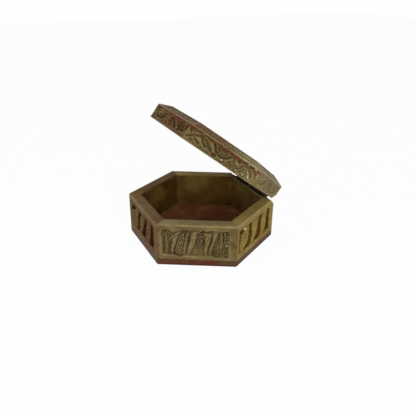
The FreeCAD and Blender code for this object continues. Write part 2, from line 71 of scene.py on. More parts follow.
Unevenness = tuple[tuple[int, float, float], ...]  # each a seed, a depth and a length

log = logging.getLogger("carved_box")


def srgb(red: float, green: float, blue: float) -> tuple[float, float, float, float]:
    """A colour given as 0 to 255 screen values, as the linear colour that a shader takes.

    Args:
        red: Its red part, from 0 to 255.
        green: Its green part.
        blue: Its blue part.

    Returns:
        Its linear red, green and blue, and an alpha of 1.
    """
    channels = [value / 255 for value in (red, green, blue)]
    linear = [c / 12.92 if c <= 0.04045 else ((c + 0.055) / 1.055) ** 2.4 for c in channels]
    return (*linear, 1.0)


class Socket:
    """A value on its way through a material, which can be worked with like a number."""

    def __init__(self, shade: "Shade", link: bpy.types.NodeSocket | None) -> None:
        """Keeps the material and the node output that carries the value."""
        self.shade = shade
        self.link = link

    def _math(self, operation: str, first: object, second: object = 0.0) -> "Socket":
        """The output of one Math node on two values."""
        return self.shade.node("Math", {"operation": operation}, {0: first, 1: second})

    def __add__(self, other: object) -> "Socket":
        """Self plus other."""
        return self._math("ADD", self, other)

    __radd__ = __add__

    def __sub__(self, other: object) -> "Socket":
        """Self minus other."""
        return self._math("SUBTRACT", self, other)

    def __rsub__(self, other: object) -> "Socket":
        """Other minus self."""
        return self._math("SUBTRACT", other, self)

    def __mul__(self, other: object) -> "Socket":
        """Self times other."""
        return self._math("MULTIPLY", self, other)

    __rmul__ = __mul__

    def scaled(self, least: float, gain: float) -> "Socket":
        """A least value, plus self times a gain."""
        return least + gain * self

    def clamp(self) -> "Socket":
        """Self kept between 0 and 1."""
        return self._math("MINIMUM", self._math("MAXIMUM", self, 0.0), 1.0)

    def ramp(self, low: float, high: float) -> "Socket":
        """A smooth rise from 0 at low to 1 at high."""
        settings = {"interpolation_type": "SMOOTHSTEP"}
        return self.shade.node("MapRange", settings, {0: self, 1: low, 2: high})


class Shade:
    """Builds one material, or the world, out of nodes."""

    def __init__(self, name: str, world: bool = False) -> None:
        """Starts it with no nodes.

        Args:
            name: What it is called.
            world: Whether it is a world.
        """
        self.material = (bpy.data.worlds if world else bpy.data.materials).new(name)
        self.material.use_nodes = True
        self.tree = self.material.node_tree
        self.tree.nodes.clear()

    def node(
        self, kind: str, settings: dict | None = None, values: dict | None = None, out: int | str = 0,
    ) -> Socket:
        """Adds a node of any type.

        Args:
            kind: The node's type, without its ShaderNode prefix.
            settings: What is set on the node itself before its sockets.
            values: Numbers, colours or Sockets for its inputs, by name or place.
            out: The output that is wanted, by name or place.

        Returns:
            That output.
        """
        made = self.tree.nodes.new("ShaderNode" + kind)
        for name, value in (settings or {}).items():
            setattr(made, name, value)
        for place, value in (values or {}).items():
            if isinstance(value, Socket):
                self.tree.links.new(value.link, made.inputs[place])
            else:
                made.inputs[place].default_value = value
        return Socket(self, made.outputs[out] if made.outputs else None)

    def attribute(self, name: str) -> Socket:
        """A number that the mesh stores at each point."""
        return self.node("Attribute", {"attribute_name": name}, out=2)

    def place(self) -> Socket:
        """The object's own coordinates, in metres."""
        return self.node("TexCoord", out=3)

    def noise(self, place: Socket, per_metre: float, detail: float = 3.0, rough: float = 0.55) -> Socket:
        """Cloudy noise with a given number of features to a metre."""
        values = {"Vector": place, "Scale": per_metre, "Detail": detail, "Roughness": rough}
        return self.node("TexNoise", None, values)

    def mix(self, share: object, first: object, second: object, blend: str = "MIX") -> Socket:
        """First colour at 0 and second at 1."""
        settings = {"data_type": "RGBA", "blend_type": blend}
        return self.node("Mix", settings, {0: share, 6: first, 7: second}, out=2)

    def stretch(self, place: Socket, scale: Triple) -> Socket:
        """Coordinates scaled along each axis."""
        return self.node("VectorMath", {"operation": "MULTIPLY"}, {0: place, 1: scale})

    def background_seen(self) -> Socket:
        """1 for rays that should meet a plain white background: seen, mirrored or passed through glass.

        Returns:
            The value, which fits a Mix Shader's factor.
        """
        rays = ("Is Camera Ray", "Is Glossy Ray", "Is Transmission Ray")
        seen, mirrored, passed = (self.node("LightPath", out=name) for name in rays)
        return (seen + mirrored + passed).clamp()

    def surface(self, values: dict) -> bpy.types.Material:
        """Ends the material with one Principled shader that has these values.

        Args:
            values: Numbers, colours or Sockets for the shader's inputs, by name.

        Returns:
            The finished material.
        """
        shader = self.node("BsdfPrincipled", None, values)
        self.node("OutputMaterial", None, {0: shader})
        return self.material


@dataclass(frozen=True)
class StoneFinish:
    """Waxed soapstone: red-veined olive, dirt and painted shade in hollows, wear and painted highlight,
    painted glints.
    """

    name: str
    ground: Triple
    cloud: Triple
    red: Triple = (104, 62, 46)
    # dark colour for dirt and for painted shade in the hollows
    dirt_and_shade: Triple = (44, 31, 10)
    # pale colour for wear and for painted highlights on edges and ridges
    wear_and_light: Triple = (150, 137, 92)
    inside: Triple = (70, 48, 18)
    inside_cloud: Triple = (94, 74, 33)
    # pale colour of painted glints
    painted_glint: Triple = (226, 220, 200)
    red_share: float = 0.25
    clouds_to_metre: float = 60.0
    streaks_to_cloud: float = 2.6
    grain_to_metre: float = 1500.0
    specks_to_metre: float = 700.0
    smears_to_metre: float = 170.0
    scratches_to_metre: float = 2600.0
    streak_stretch: Triple = (1.0, 1.0, 2.2)
    smear_stretch: Triple = (1.0, 1.0, 2.6)
    scratch_stretch: Triple = (0.3, 1.0, 1.0)
    cloud_edges: Pair = (0.36, 0.64)  # where a noise turns from one colour to the next
    inside_edges: Pair = (0.44, 0.66)
    red_edges: Pair = (0.60, 0.76)
    red_spread: float = 0.15
    speck_edges: Pair = (0.56, 0.72)
    wet_edges: Pair = (0.50, 0.62)
    red_by_streaks: Pair = (0.35, 1.1)  # a share where a noise is 0, and what the noise adds
    dirt_and_shade_by_clouds: Pair = (0.78, 0.4)
    paling_by_streaks: Pair = (0.25, 0.7)
    painted_glint_by_specks: Pair = (0.10, 1.2)
    tone_by_specks: Pair = (1.0, -0.22)
    tone_by_grain: Pair = (0.80, 0.40)
    tone_by_smears: Pair = (0.65, 0.70)
    less_red_inside: float = 0.9
    less_paling_on_red: float = 0.6
    wet_wear: float = 0.25
    seed: float = 0.0
    rough: float = 0.5
    gloss: float = 0.12
    wax_rough: float = 0.12
    bump: float = 0.4
    bump_tall: float = 0.00015

    def material(self) -> bpy.types.Material:
        """Builds the finish.

        Returns:
            The material, which reads the marks that the carving leaves at each point.
        """
        shade = Shade(self.name)
        place = shade.node("VectorMath", {"operation": "ADD"}, {0: shade.place(), 1: (self.seed,) * 3})
        marks = ("dirt_and_shade", "wear_and_light", "inside", "blush", "glint")
        dirt_and_shade, wear_and_light, inside, blush, glint = (shade.attribute(mark) for mark in marks)
        clouds = shade.noise(place, self.clouds_to_metre, 4.0)
        drawn_out = shade.stretch(place, self.streak_stretch)
        streaks = shade.noise(drawn_out, self.clouds_to_metre * self.streaks_to_cloud, 5.0, 0.62)
        grain = shade.noise(place, self.grain_to_metre, 4.0, 0.7)
        specks = shade.noise(place, self.specks_to_metre, 2.0)
        smears = shade.noise(shade.stretch(place, self.smear_stretch), self.smears_to_metre, 3.0, 0.6)
        drawn_out = shade.stretch(place, self.scratch_stretch)
        scratches = shade.noise(drawn_out, self.scratches_to_metre, 3.0, 0.6)
        # the stone itself, outside and inside the box, with its red
        colour = shade.mix(clouds.ramp(*self.cloud_edges), srgb(*self.ground), srgb(*self.cloud))
        oiled = shade.mix(clouds.ramp(*self.inside_edges), srgb(*self.inside), srgb(*self.inside_cloud))
        colour = shade.mix(inside, colour, oiled)
        reach = self.red_spread * self.red_share
        patches = streaks.ramp(*(edge - reach for edge in self.red_edges)) * self.red_share
        blush = (blush * streaks.scaled(*self.red_by_streaks) + patches).clamp()
        blush = blush * (1.0 - self.less_red_inside * inside)
        colour = shade.mix(blush, colour, srgb(*self.red))
        # what dirt and wear have done to it, with painted shade, painted highlights and painted glints
        # dirt and painted shade in the hollows, as the carving marks them
        dirt_and_shade_share = (dirt_and_shade * clouds.scaled(*self.dirt_and_shade_by_clouds)).clamp()
        colour = shade.mix(dirt_and_shade_share, colour, srgb(*self.dirt_and_shade))
        # edges paled by wear and by painted highlight
        paled = wear_and_light * streaks.scaled(*self.paling_by_streaks) * (1.0 - self.less_paling_on_red * blush)
        colour = shade.mix(paled.clamp(), colour, srgb(*self.wear_and_light))
        tone = specks.ramp(*self.speck_edges).scaled(*self.tone_by_specks)
        tone = tone * grain.scaled(*self.tone_by_grain) * smears.scaled(*self.tone_by_smears)
        grey = shade.node("CombineXYZ", None, {0: tone, 1: tone, 2: tone})
        colour = shade.mix(1.0, colour, grey, "MULTIPLY")
        # painted glints: a pale colour where the glint mark lies
        painted_glint_share = (glint * specks.scaled(*self.painted_glint_by_specks)).clamp()
        colour = shade.mix(painted_glint_share, colour, srgb(*self.painted_glint))
        # a glossy coat on the glints and on worn edges
        waxed = (glint + self.wet_wear * wear_and_light * specks.ramp(*self.wet_edges)).clamp()
        height = grain * 0.5 + scratches * 0.3 + specks * 0.5
        values = {"Strength": self.bump, "Distance": self.bump_tall, "Height": height}
        bump = shade.node("Bump", None, values)
        return shade.surface({
            "Base Color": colour,
            "Roughness": (self.rough + 0.3 * (grain - 0.5) + 0.2 * dirt_and_shade - 0.1 * wear_and_light).clamp(),
            "Specular IOR Level": self.gloss,
            "Coat Weight": waxed,
            "Coat Roughness": self.wax_rough,
            "Normal": bump,
        })


@dataclass(frozen=True)
class BrassFinish:
    """Old hand-worked brass, nearly black, with a few brighter rubs."""

    name: str = "blackened_brass"
    metal: Triple = (96, 74, 40)
    skin: Triple = (34, 25, 13)
    clouds_to_metre: float = 520.0
    rubs_to_metre: float = 5200.0
    rub_stretch: Triple = (0.2, 1.0, 1.0)
    skin_edges: Pair = (0.34, 0.58)
    metal_by_skin: Pair = (1.0, -0.6)
    rough_by_skin: Pair = (0.42, 0.3)
    bump: float = 0.3
    bump_tall: float = 0.00008

    def material(self) -> bpy.types.Material:
        """Builds the finish.

        Returns:
            The material.
        """
        shade = Shade(self.name)
        place = shade.place()
        rubs = shade.noise(shade.stretch(place, self.rub_stretch), self.rubs_to_metre, 3.0)
        skin = shade.noise(place, self.clouds_to_metre, 4.0).ramp(*self.skin_edges)
        colour = shade.mix(skin, srgb(*self.metal), srgb(*self.skin))
        values = {"Strength": self.bump, "Distance": self.bump_tall, "Height": rubs}
        bump = shade.node("Bump", None, values)
        return shade.surface({
            "Base Color": colour,
            "Metallic": skin.scaled(*self.metal_by_skin),
            "Roughness": skin.scaled(*self.rough_by_skin),
            "Normal": bump,
        })


class Finish(Enum):
    """The finish of each slab, and of the brass."""

    FRONT_OLIVE = StoneFinish(
        "olive_soapstone", (118, 102, 61), (92, 77, 43), red_share=0.12, clouds_to_metre=95.0)
    YELLOW_OLIVE = StoneFinish(
        "yellow_soapstone", (143, 121, 53), (124, 102, 41), dirt_and_shade=(70, 45, 2), wear_and_light=(168, 152, 96),
        inside=(74, 51, 19), red_share=0.1, gloss=0.06, seed=0.31)
    RED_OLIVE = StoneFinish(
        "red_olive_soapstone", (102, 81, 43), (93, 67, 35), red=(96, 52, 34), dirt_and_shade=(56, 24, 5),
        wear_and_light=(150, 132, 84), red_share=0.4, gloss=0.03, seed=0.57)
    LID_STONE = StoneFinish(
        "veined_soapstone", (119, 106, 62), (100, 84, 50), red=(97, 33, 25), dirt_and_shade=(56, 40, 14),
        gloss=0.08, seed=0.83)
    BASE_STONE = StoneFinish(
        "red_soapstone", (80, 50, 31), (78, 64, 38), red=(84, 38, 27), dirt_and_shade=(36, 17, 11),
        wear_and_light=(124, 92, 62), inside=(144, 89, 60), inside_cloud=(166, 110, 75), red_share=0.7, seed=0.11)
    BRASS = BrassFinish()


def rise(low: float, high: float, value: Grid) -> Grid:
    """A smooth step from 0 at low to 1 at high."""
    share = np.clip((value - low) / (high - low), 0.0, 1.0)
    return share * share * (3.0 - 2.0 * share)


def slope(value: Grid, start: float, run: float) -> Grid:
    """A straight rise from 0 at start to 1 after a run."""
    return np.clip((value - start) / run, 0, 1)


def hump(value: Grid, middle: Grid | float, wide: Grid | float) -> Grid:
    """A smooth hump, 1 in its middle and nearly gone two widths away."""
    return np.exp(-(((value - middle) / wide) ** 2))


def spot(x: Grid, z: Grid, middle: Pair, wide: Pair) -> Grid:
    """A smooth round spot, as a hump in both directions."""
    return np.exp(-(((x - middle[0]) / wide[0]) ** 2 + ((z - middle[1]) / wide[1]) ** 2))


def rod(x: Grid, z: Grid, start: Triple, end: Triple) -> Grid:
    """How deep each point lies inside a rod between two discs (across, up, radius); below 0 outside.

    Args:
        x: Places across, in millimetres.
        z: Places up, in millimetres.
        start: The disc at one end.
        end: The disc at the other end.

    Returns:
        The depth at each place, in millimetres.
    """
    run_x, run_z = end[0] - start[0], end[1] - start[1]
    length = max(run_x * run_x + run_z * run_z, 1e-9)
    share = np.clip(((x - start[0]) * run_x + (z - start[1]) * run_z) / length, 0.0, 1.0)
    away = np.hypot(x - start[0] - share * run_x, z - start[1] - share * run_z)
    return start[2] + (end[2] - start[2]) * share - away


def limb(x: Grid, z: Grid, discs: Discs) -> Grid:
    """How deep each point lies inside a chain of rods."""
    return np.max([rod(x, z, *pair) for pair in zip(discs, discs[1:])], axis=0)


def dome(inside: Grid, soft: float) -> Grid:
    """A rounded shoulder: 0 at an outline, and 1 at a depth of soft inside it."""
    return np.sin(np.clip(inside / soft, 0.0, 1.0) * math.pi / 2)


def wander(x: Grid, z: Grid, seed: int, length: float) -> Grid:
    """Slow unevenness between about -1 and 1, with waves of about a given length.

    Args:
        x: Places across, in millimetres.
        z: Places up, in millimetres.
        seed: Which of the many unevennesses to take.
        length: The waves' usual length, in millimetres.

    Returns:
        The unevenness at each place.
    """
    draw = np.random.default_rng(seed)
    total = np.zeros(np.broadcast(x, z).shape)
    for _ in range(WAVES):
        angle = draw.uniform(0, math.tau)
        pitch = length * draw.uniform(*WAVE_SPREAD)
        phase = draw.uniform(0, math.tau)
        total += np.sin((x * math.cos(angle) + z * math.sin(angle)) * math.tau / pitch + phase)
    return total / WAVES_TALL


def furrow(x: Grid, z: Grid, discs: Discs, soft: float = 0.3) -> Grid:
    """How far into a cut along a chain of discs each place lies, from 0 outside it to 1 in its middle."""
    return rise(-soft, soft, limb(x, z, discs))


def strokes_on(x: Grid, z: Grid, strokes: tuple[Discs, ...]) -> Grid:
    """How far into the nearest of some thin strokes each place lies, from 0 outside them to 1.

    Args:
        x: Places across, in millimetres.
        z: Places up, in millimetres.
        strokes: The strokes, each a chain of discs.

    Returns:
        The share at each place.
    """
    total = np.zeros(np.broadcast(x, z).shape)
    for stroke in strokes:
        total = np.maximum(total, rise(-0.30, 0.25, limb(x, z, stroke)))
    return total


def beads(x: Grid, z: Grid, places: Discs, tall: float) -> Grid:
    """Round beads (across, up, radius) of one height.

    Args:
        x: Places across, in millimetres.
        z: Places up, in millimetres.
        places: The beads.
        tall: How tall they stand.

    Returns:
        The height at each place, and 0 between the beads.
    """
    total = np.zeros(x.shape)
    for across, up, radius in places:
        total = np.maximum(total, tall * dome(radius - np.hypot(x - across, z - up), radius))
    return total


def peened(x: Grid, z: Grid, pitch: float) -> Grid:
    """Rows of small beads struck into a ground, from 0 between them to 1 on their tops.

    Args:
        x: Places across, in millimetres.
        z: Places up, in millimetres.
        pitch: The distance from bead to bead.

    Returns:
        The share at each place.
    """
    row = np.floor(z / (pitch * BEAD_ROWS))
    shift = 0.5 * pitch * np.mod(row, 2) + 0.14 * pitch * np.sin(row * 2.4)
    near = np.mod(x + shift, pitch) - pitch / 2
    off = np.mod(z, pitch * BEAD_ROWS) - pitch * BEAD_ROWS / 2
    return dome(0.46 * pitch - np.hypot(near, off), 0.4 * pitch)


def blur(grid: Grid, reach: int) -> Grid:
    """Mean of a grid over a square of cells, with its edges repeated.

    Args:
        grid: The grid.
        reach: How many cells the square reaches to each side.

    Returns:
        The smoothed grid.
    """
    out = grid
    for axis in (0, 1):
        pad = [(0, 0), (0, 0)]
        pad[axis] = (reach + 1, reach)
        summed = np.cumsum(np.pad(out, pad, mode="edge"), axis=axis)
        width = 2 * reach + 1
        high = np.take(summed, range(width, summed.shape[axis]), axis=axis)
        low = np.take(summed, range(0, summed.shape[axis] - width), axis=axis)
        out = (high - low) / width
    return out


@dataclass
class ElephantScene:
    """Two elephants among beaded trees, in a sunk field. Places are from its lower left corner."""

    wide: float
    full: float = 1.95  # how far the foremost figures stand up from the bed
    ground: float = 0.92  # and the foliage behind them
    lift: float = 0.45  # how far the figures are raised in their field
    squeeze: float = 0.955  # and lowered again by this share, to end under its upper edge
    bead_pitch: float = 1.35
    outline_cut: float = 0.28  # cuts are shares of the height that they take away
    lobe_cut: float = 0.64
    floret_cut: float = 0.55
    floret_tall: float = 0.75
    furrow_cut: float = 0.62
    shoulder: float = 1.7  # how far in from its outline a figure is rounded
    fold_tall: float = 0.03
    fold_pitch: float = 3.3
    figures: tuple[tuple[Discs, float], ...] = (
        (
            ((37.4, 17.3, 0.5), (34.0, 15.4, 1.6), (33.5, 13.2, 1.7), (32.8, 10.0, 1.5), (31.2, 5.4, 1.3),
             (30.4, 1.2, 1.1)), 0.92),
        (((27.8, 15.2, 1.2), (30.0, 14.4, 2.0), (29.2, 9.8, 1.9), (28.3, 5.2, 1.4), (28.0, 1.4, 1.2)), 0.98),
        (((25.6, 17.4, 0.5), (21.4, 15.7, 1.8), (20.2, 11.6, 2.2), (18.6, 5.8, 1.6), (17.2, 1.4, 1.2)), 0.95),
        (((17.0, 15.2, 1.1), (16.2, 12.4, 1.1), (15.4, 6.9, 1.0), (14.6, 1.4, 1.0)), 0.86),
        (((3.6, 11.6, 1.0), (3.9, 6.4, 1.2), (3.2, 1.8, 1.4)), 0.66),
        (((0.9, 11.0, 0.5), (0.9, 2.0, 0.6)), 0.80),
        (((12.4, 16.6, 1.1), (10.4, 15.4, 1.7), (8.9, 11.4, 1.5), (7.7, 6.4, 1.2), (6.9, 1.8, 1.0)), 1.0),
        (((12.2, 16.3, 0.9), (10.0, 14.8, 0.8), (5.4, 10.7, 0.45)), 0.96),
        (((37.5, 15.8, 0.9), (37.9, 10.0, 0.9), (37.7, 6.2, 0.8)), 0.80),
    )
    lobes: tuple[Discs, ...] = (
        ((3.3, 15.4, 3.2), (3.5, 15.4, 3.2)),
        ((14.2, 15.4, 1.8), (13.0, 11.8, 2.2), (12.2, 7.9, 2.2), (11.2, 3.3, 3.0)),
        ((26.3, 16.2, 2.1), (25.2, 12.5, 2.6), (24.4, 9.0, 2.0)),
        ((40.4, 15.9, 1.8), (41.0, 12.5, 1.9), (41.0, 8.2, 2.0)),
    )
    furrows: tuple[Discs, ...] = (
        ((2.0, 11.4, 0.3), (1.8, 2.4, 0.3)),
        ((7.2, 10.8, 0.25), (6.0, 8.6, 0.5), (5.6, 3.4, 0.4)),
        ((18.3, 14.0, 0.25), (17.7, 9.9, 0.45), (17.0, 6.2, 0.2)),
        ((32.2, 14.4, 0.25), (31.2, 9.9, 0.40), (29.9, 5.6, 0.2)),
        ((36.1, 15.8, 0.5), (36.0, 12.6, 0.4), (35.2, 8.0, 0.25)),
        ((8.4, 17.2, 0.2), (12.0, 17.6, 0.35), (16.8, 18.0, 0.3), (22.4, 18.3, 0.2)),
        ((28.2, 16.9, 0.3), (30.4, 17.8, 0.4), (36.4, 17.4, 0.4)),
        ((1.8, 1.5, 0.3), (6.4, 1.3, 0.3)),
        ((15.2, 0.9, 0.35), (18.6, 0.8, 0.35)),
        ((27.8, 0.5, 0.4), (33.2, 0.9, 0.3)),
    )
    bush: Triple = (23.3, 0.1, 3.8)
    bush_tall: float = 6.7
    rib_pitch: float = 1.3
    florets: Discs = (
        (3.2, 15.4, 0.85), (1.8, 16.8, 0.6), (4.6, 17.0, 0.6), (2.0, 13.8, 0.6), (5.0, 14.2, 0.6),
        (14.0, 14.9, 0.95), (11.7, 3.9, 1.0), (12.9, 10.6, 0.7), (12.2, 7.4, 0.7), (26.0, 15.9, 0.95),
        (27.0, 13.9, 0.8), (24.8, 13.6, 0.85), (25.6, 11.3, 0.95), (23.7, 11.0, 0.7), (24.6, 8.8, 0.85),
        (40.1, 16.1, 0.95), (41.6, 14.2, 0.8), (40.4, 12.3, 0.85), (41.8, 10.6, 0.8), (41.2, 8.1, 1.25),
        (37.8, 5.9, 0.75), (38.4, 1.9, 0.6),
    )
    rings: Discs = ((34.9, 2.1, 2.1), (40.7, 2.7, 2.4))
    hoop_middle: float = 0.66  # parts of a ring, as shares of its radius
    hoop_wide: float = 0.32
    pip_wide: float = 0.26
    moat_edges: Pair = (1.32, 1.08)
    pip_tall: float = 1.05
    moat_tall: float = 0.30
    upper: tuple[Pair, ...] = (
        (0.3, 15.6), (1.0, 17.8), (3.4, 18.9), (5.8, 18.0), (7.2, 16.6), (9.0, 17.1), (13.0, 18.0),
        (17.5, 18.5), (22.2, 18.6), (25.0, 17.6), (26.6, 18.3), (28.6, 17.6), (31.2, 18.3),
        (36.8, 18.0), (38.0, 17.6), (42.0, 18.2), (43.0, 16.6),
    )
    lower: tuple[Pair, ...] = (
        (0.0, 1.0), (8.2, 0.5), (9.4, 0.2), (11.5, -0.7), (14.2, 0.3), (19.0, 0.5), (20.2, -0.2),
        (27.0, -0.2), (27.8, 0.2), (32.4, 0.3), (34.2, -0.5), (37.8, -0.7), (39.6, -1.5), (42.2, -1.0),
        (43.0, 0.6),
    )

    def margin(self, x: Grid, z: Grid) -> Grid:
        """How far each place lies inside the field's wavering outline.

        Args:
            x: Places across the field, in millimetres.
            z: Places up the field.

        Returns:
            The distance, below 0 outside the field.
        """
        upper_x, upper_z = zip(*self.upper)
        lower_x, lower_z = zip(*self.lower)
        sides = np.minimum(x - 0.2, self.wide - 0.2 - x)
        below, above = np.interp(x, upper_x, upper_z) - z, z - np.interp(x, lower_x, lower_z)
        return np.min([sides, below, above], axis=0)

    def height(self, x: Grid, z: Grid) -> Grid:
        """How far the carving stands up from the bed of the field.

        Args:
            x: Places across the field, in millimetres.
            z: Places up the field.

        Returns:
            The height at each place.
        """
        x = x + 0.22 * wander(x, z, 5, 4.5)
        total = self.foliage(x, z)
        for discs, share in self.figures:
            inside = limb(x, z, discs)
            total = total * (1.0 - self.outline_cut * hump(inside, -0.30, 0.32))
            raised = self.full * share * (0.48 + 0.52 * dome(inside, self.shoulder))
            total = np.where(inside > 0, raised, total)
        for discs in self.furrows:
            total = total * (1.0 - self.furrow_cut * furrow(x, z, discs, 0.50))
        folds = self.fold_tall * np.cos((z + 0.35 * x) * math.tau / self.fold_pitch)
        folds = folds + 0.06 * wander(x, z, 6, 2.2)
        return self.ring_bosses(x, z, total * (1.0 + folds))

    def foliage(self, x: Grid, z: Grid) -> Grid:
        """The beaded ground between the elephants, with its lobes of leaves and florets.

        Args:
            x: Places across the field, in millimetres.
            z: Places up the field.

        Returns:
            The height at each place.
        """
        struck = peened(x, z, self.bead_pitch)
        total = self.ground * 0.8 + 0.45 * struck
        for discs in self.lobes:
            inside = limb(x, z, discs)
            crowned = self.ground * (0.75 + 0.35 * dome(inside, 1.6)) + 0.55 * struck
            total = np.where(inside > 0, crowned, total) * (1.0 - self.lobe_cut * hump(inside, -0.1, 0.36))
        for across, up, radius in self.florets:
            away = np.hypot(x - across, z - up)
            total = total * (1.0 - self.floret_cut * hump(away, radius, 0.3))
        total = total + beads(x, z, self.florets, self.floret_tall)
        return np.maximum(total, self.ribbed_bush(x, z))

    def ribbed_bush(self, x: Grid, z: Grid) -> Grid:
        """The low bell-shaped bush, with short upright ribs in rows.

        Args:
            x: Places across the field, in millimetres.
            z: Places up the field.

        Returns:
            The height at each place, and 0 outside the bush.
        """
        middle, foot, half = self.bush
        narrow = half * (1.0 - 0.22 * np.clip(z / self.bush_tall, 0, 1) ** 1.5)
        inside = np.minimum(narrow - np.abs(x - middle), self.bush_tall - z - 0.10 * (x - middle) ** 2)
        inside = np.minimum(inside, z - foot + 0.4)
        ribs = 0.5 + 0.5 * np.cos((x - middle) * math.tau / self.rib_pitch)
        rows = 0.5 + 0.5 * np.cos(z * math.tau / (self.rib_pitch * 1.6))
        return dome(inside, 0.9) * (0.45 + 1.05 * ribs * (0.40 + 0.60 * rows))

    def ring_bosses(self, x: Grid, z: Grid, total: Grid) -> Grid:
        """Sets the two rings at the lower right into the ground, with the moats round them.

        Args:
            x: Places across the field, in millimetres.
            z: Places up the field.
            total: The height of the ground at each place.

        Returns:
            The height with the rings in it.
        """
        for across, up, radius in self.rings:
            away = np.hypot(x - across, z - up)
            hoop = dome(radius * self.hoop_wide - np.abs(away - radius * self.hoop_middle), radius * 0.34)
            pip = self.pip_tall * dome(radius * self.pip_wide - away, radius * self.pip_wide)
            moat = rise(*(radius * edge for edge in self.moat_edges), away)
            total = total * (1.0 - moat) + np.maximum(np.maximum(hoop, pip), self.moat_tall) * moat
        return total


@dataclass
class LeafScene:
    """Tall rounded leaves side by side, parted by deep winding slots."""

    wide: float
    tall: float
    full: float = 2.1  # how far the leaves stand up from the bed
    seed: int = 0
    turned: bool = False  # whether the leaves lean the other way
    shoulder: float = 3.2  # how far in from its slot a leaf is rounded
    crown_drop: float = 0.55
    crown_rise: float = 0.45
    vein_tall: float = 0.40
    vein_pitch: float = 2.1
    rib_tall: float = 0.06
    rib_pitch: float = 1.5
    gouge_tall: float = 0.16
    gouge_pitch: float = 1.4
    slots: tuple[Discs, ...] = (
        ((5.2, 14.6, 0.7), (3.2, 15.4, 1.7), (1.9, 13.8, 1.6), (1.2, 8.0, 1.0), (1.1, 2.0, 0.8)),
        ((15.5, 15.2, 1.5), (15.4, 11.2, 1.7), (16.0, 8.4, 2.1), (15.2, 4.3, 2.1), (12.8, 2.1, 1.6),
         (9.6, 1.5, 0.9)),
        ((29.2, 15.2, 1.9), (28.2, 12.0, 2.1), (27.9, 7.4, 2.5), (27.1, 4.0, 2.7), (24.7, 2.2, 1.9),
         (22.1, 1.4, 0.9)),
        ((41.0, 15.2, 1.8), (40.3, 11.5, 2.0), (40.3, 6.9, 2.3), (40.3, 4.0, 2.4), (38.6, 2.0, 1.7)),
    )
    turned_slots: tuple[Discs, ...] = (
        ((2.4, 13.0, 0.8), (5.0, 14.8, 1.1), (8.8, 15.9, 0.4)),
        ((18.2, 15.2, 0.6), (15.6, 13.4, 1.2), (14.3, 9.4, 1.7), (13.9, 4.8, 1.6), (12.2, 2.0, 0.8)),
        ((28.9, 15.4, 0.8), (27.1, 11.8, 1.5), (25.4, 6.6, 2.2), (23.4, 3.2, 2.5), (20.9, 1.5, 1.2)),
        ((38.6, 15.4, 1.7), (39.0, 11.4, 2.6), (38.8, 7.2, 2.9), (37.4, 3.6, 2.6), (35.2, 1.6, 1.3)),
    )

    def margin(self, x: Grid, z: Grid) -> Grid:
        """How far each place lies inside the field's outline, which only the slots reach."""
        return np.min([x - 0.1, self.wide - 0.1 - x, z - 0.1, self.tall - 0.5 - z], axis=0)

    def height(self, x: Grid, z: Grid) -> Grid:
        """How far the leaves stand up from the bed of the field.

        Args:
            x: Places across the field, in millimetres.
            z: Places up the field.

        Returns:
            The height at each place.
        """
        bent = x + 0.20 * wander(x, z, self.seed * 5 + 1, 7.0)
        slots = self.turned_slots if self.turned else self.slots
        inside = np.max([limb(bent, z, discs) for discs in slots], axis=0)
        away = -inside
        crown = self.full - self.crown_drop + self.crown_rise * dome(away, self.shoulder)
        across = 0.9 * away - 0.55 * z + 0.3 * wander(x, z, self.seed * 5 + 2, 5.0)
        veins = self.vein_tall * np.cos(across * math.tau / self.vein_pitch)
        ribs = self.rib_tall * np.cos((0.5 * away + 0.8 * z) * math.tau / self.rib_pitch)
        total = crown + (veins + ribs) * rise(0.8, 2.4, away)
        across = z + 0.35 * x + 0.5 * wander(x, z, self.seed * 5 + 3, 4.0)
        gouged = self.gouge_tall + self.gouge_tall * np.cos(across * math.tau / self.gouge_pitch)
        return np.clip(np.maximum(total * (1.0 - rise(-1.3, 0.9, inside)), gouged), 0.0, self.full)


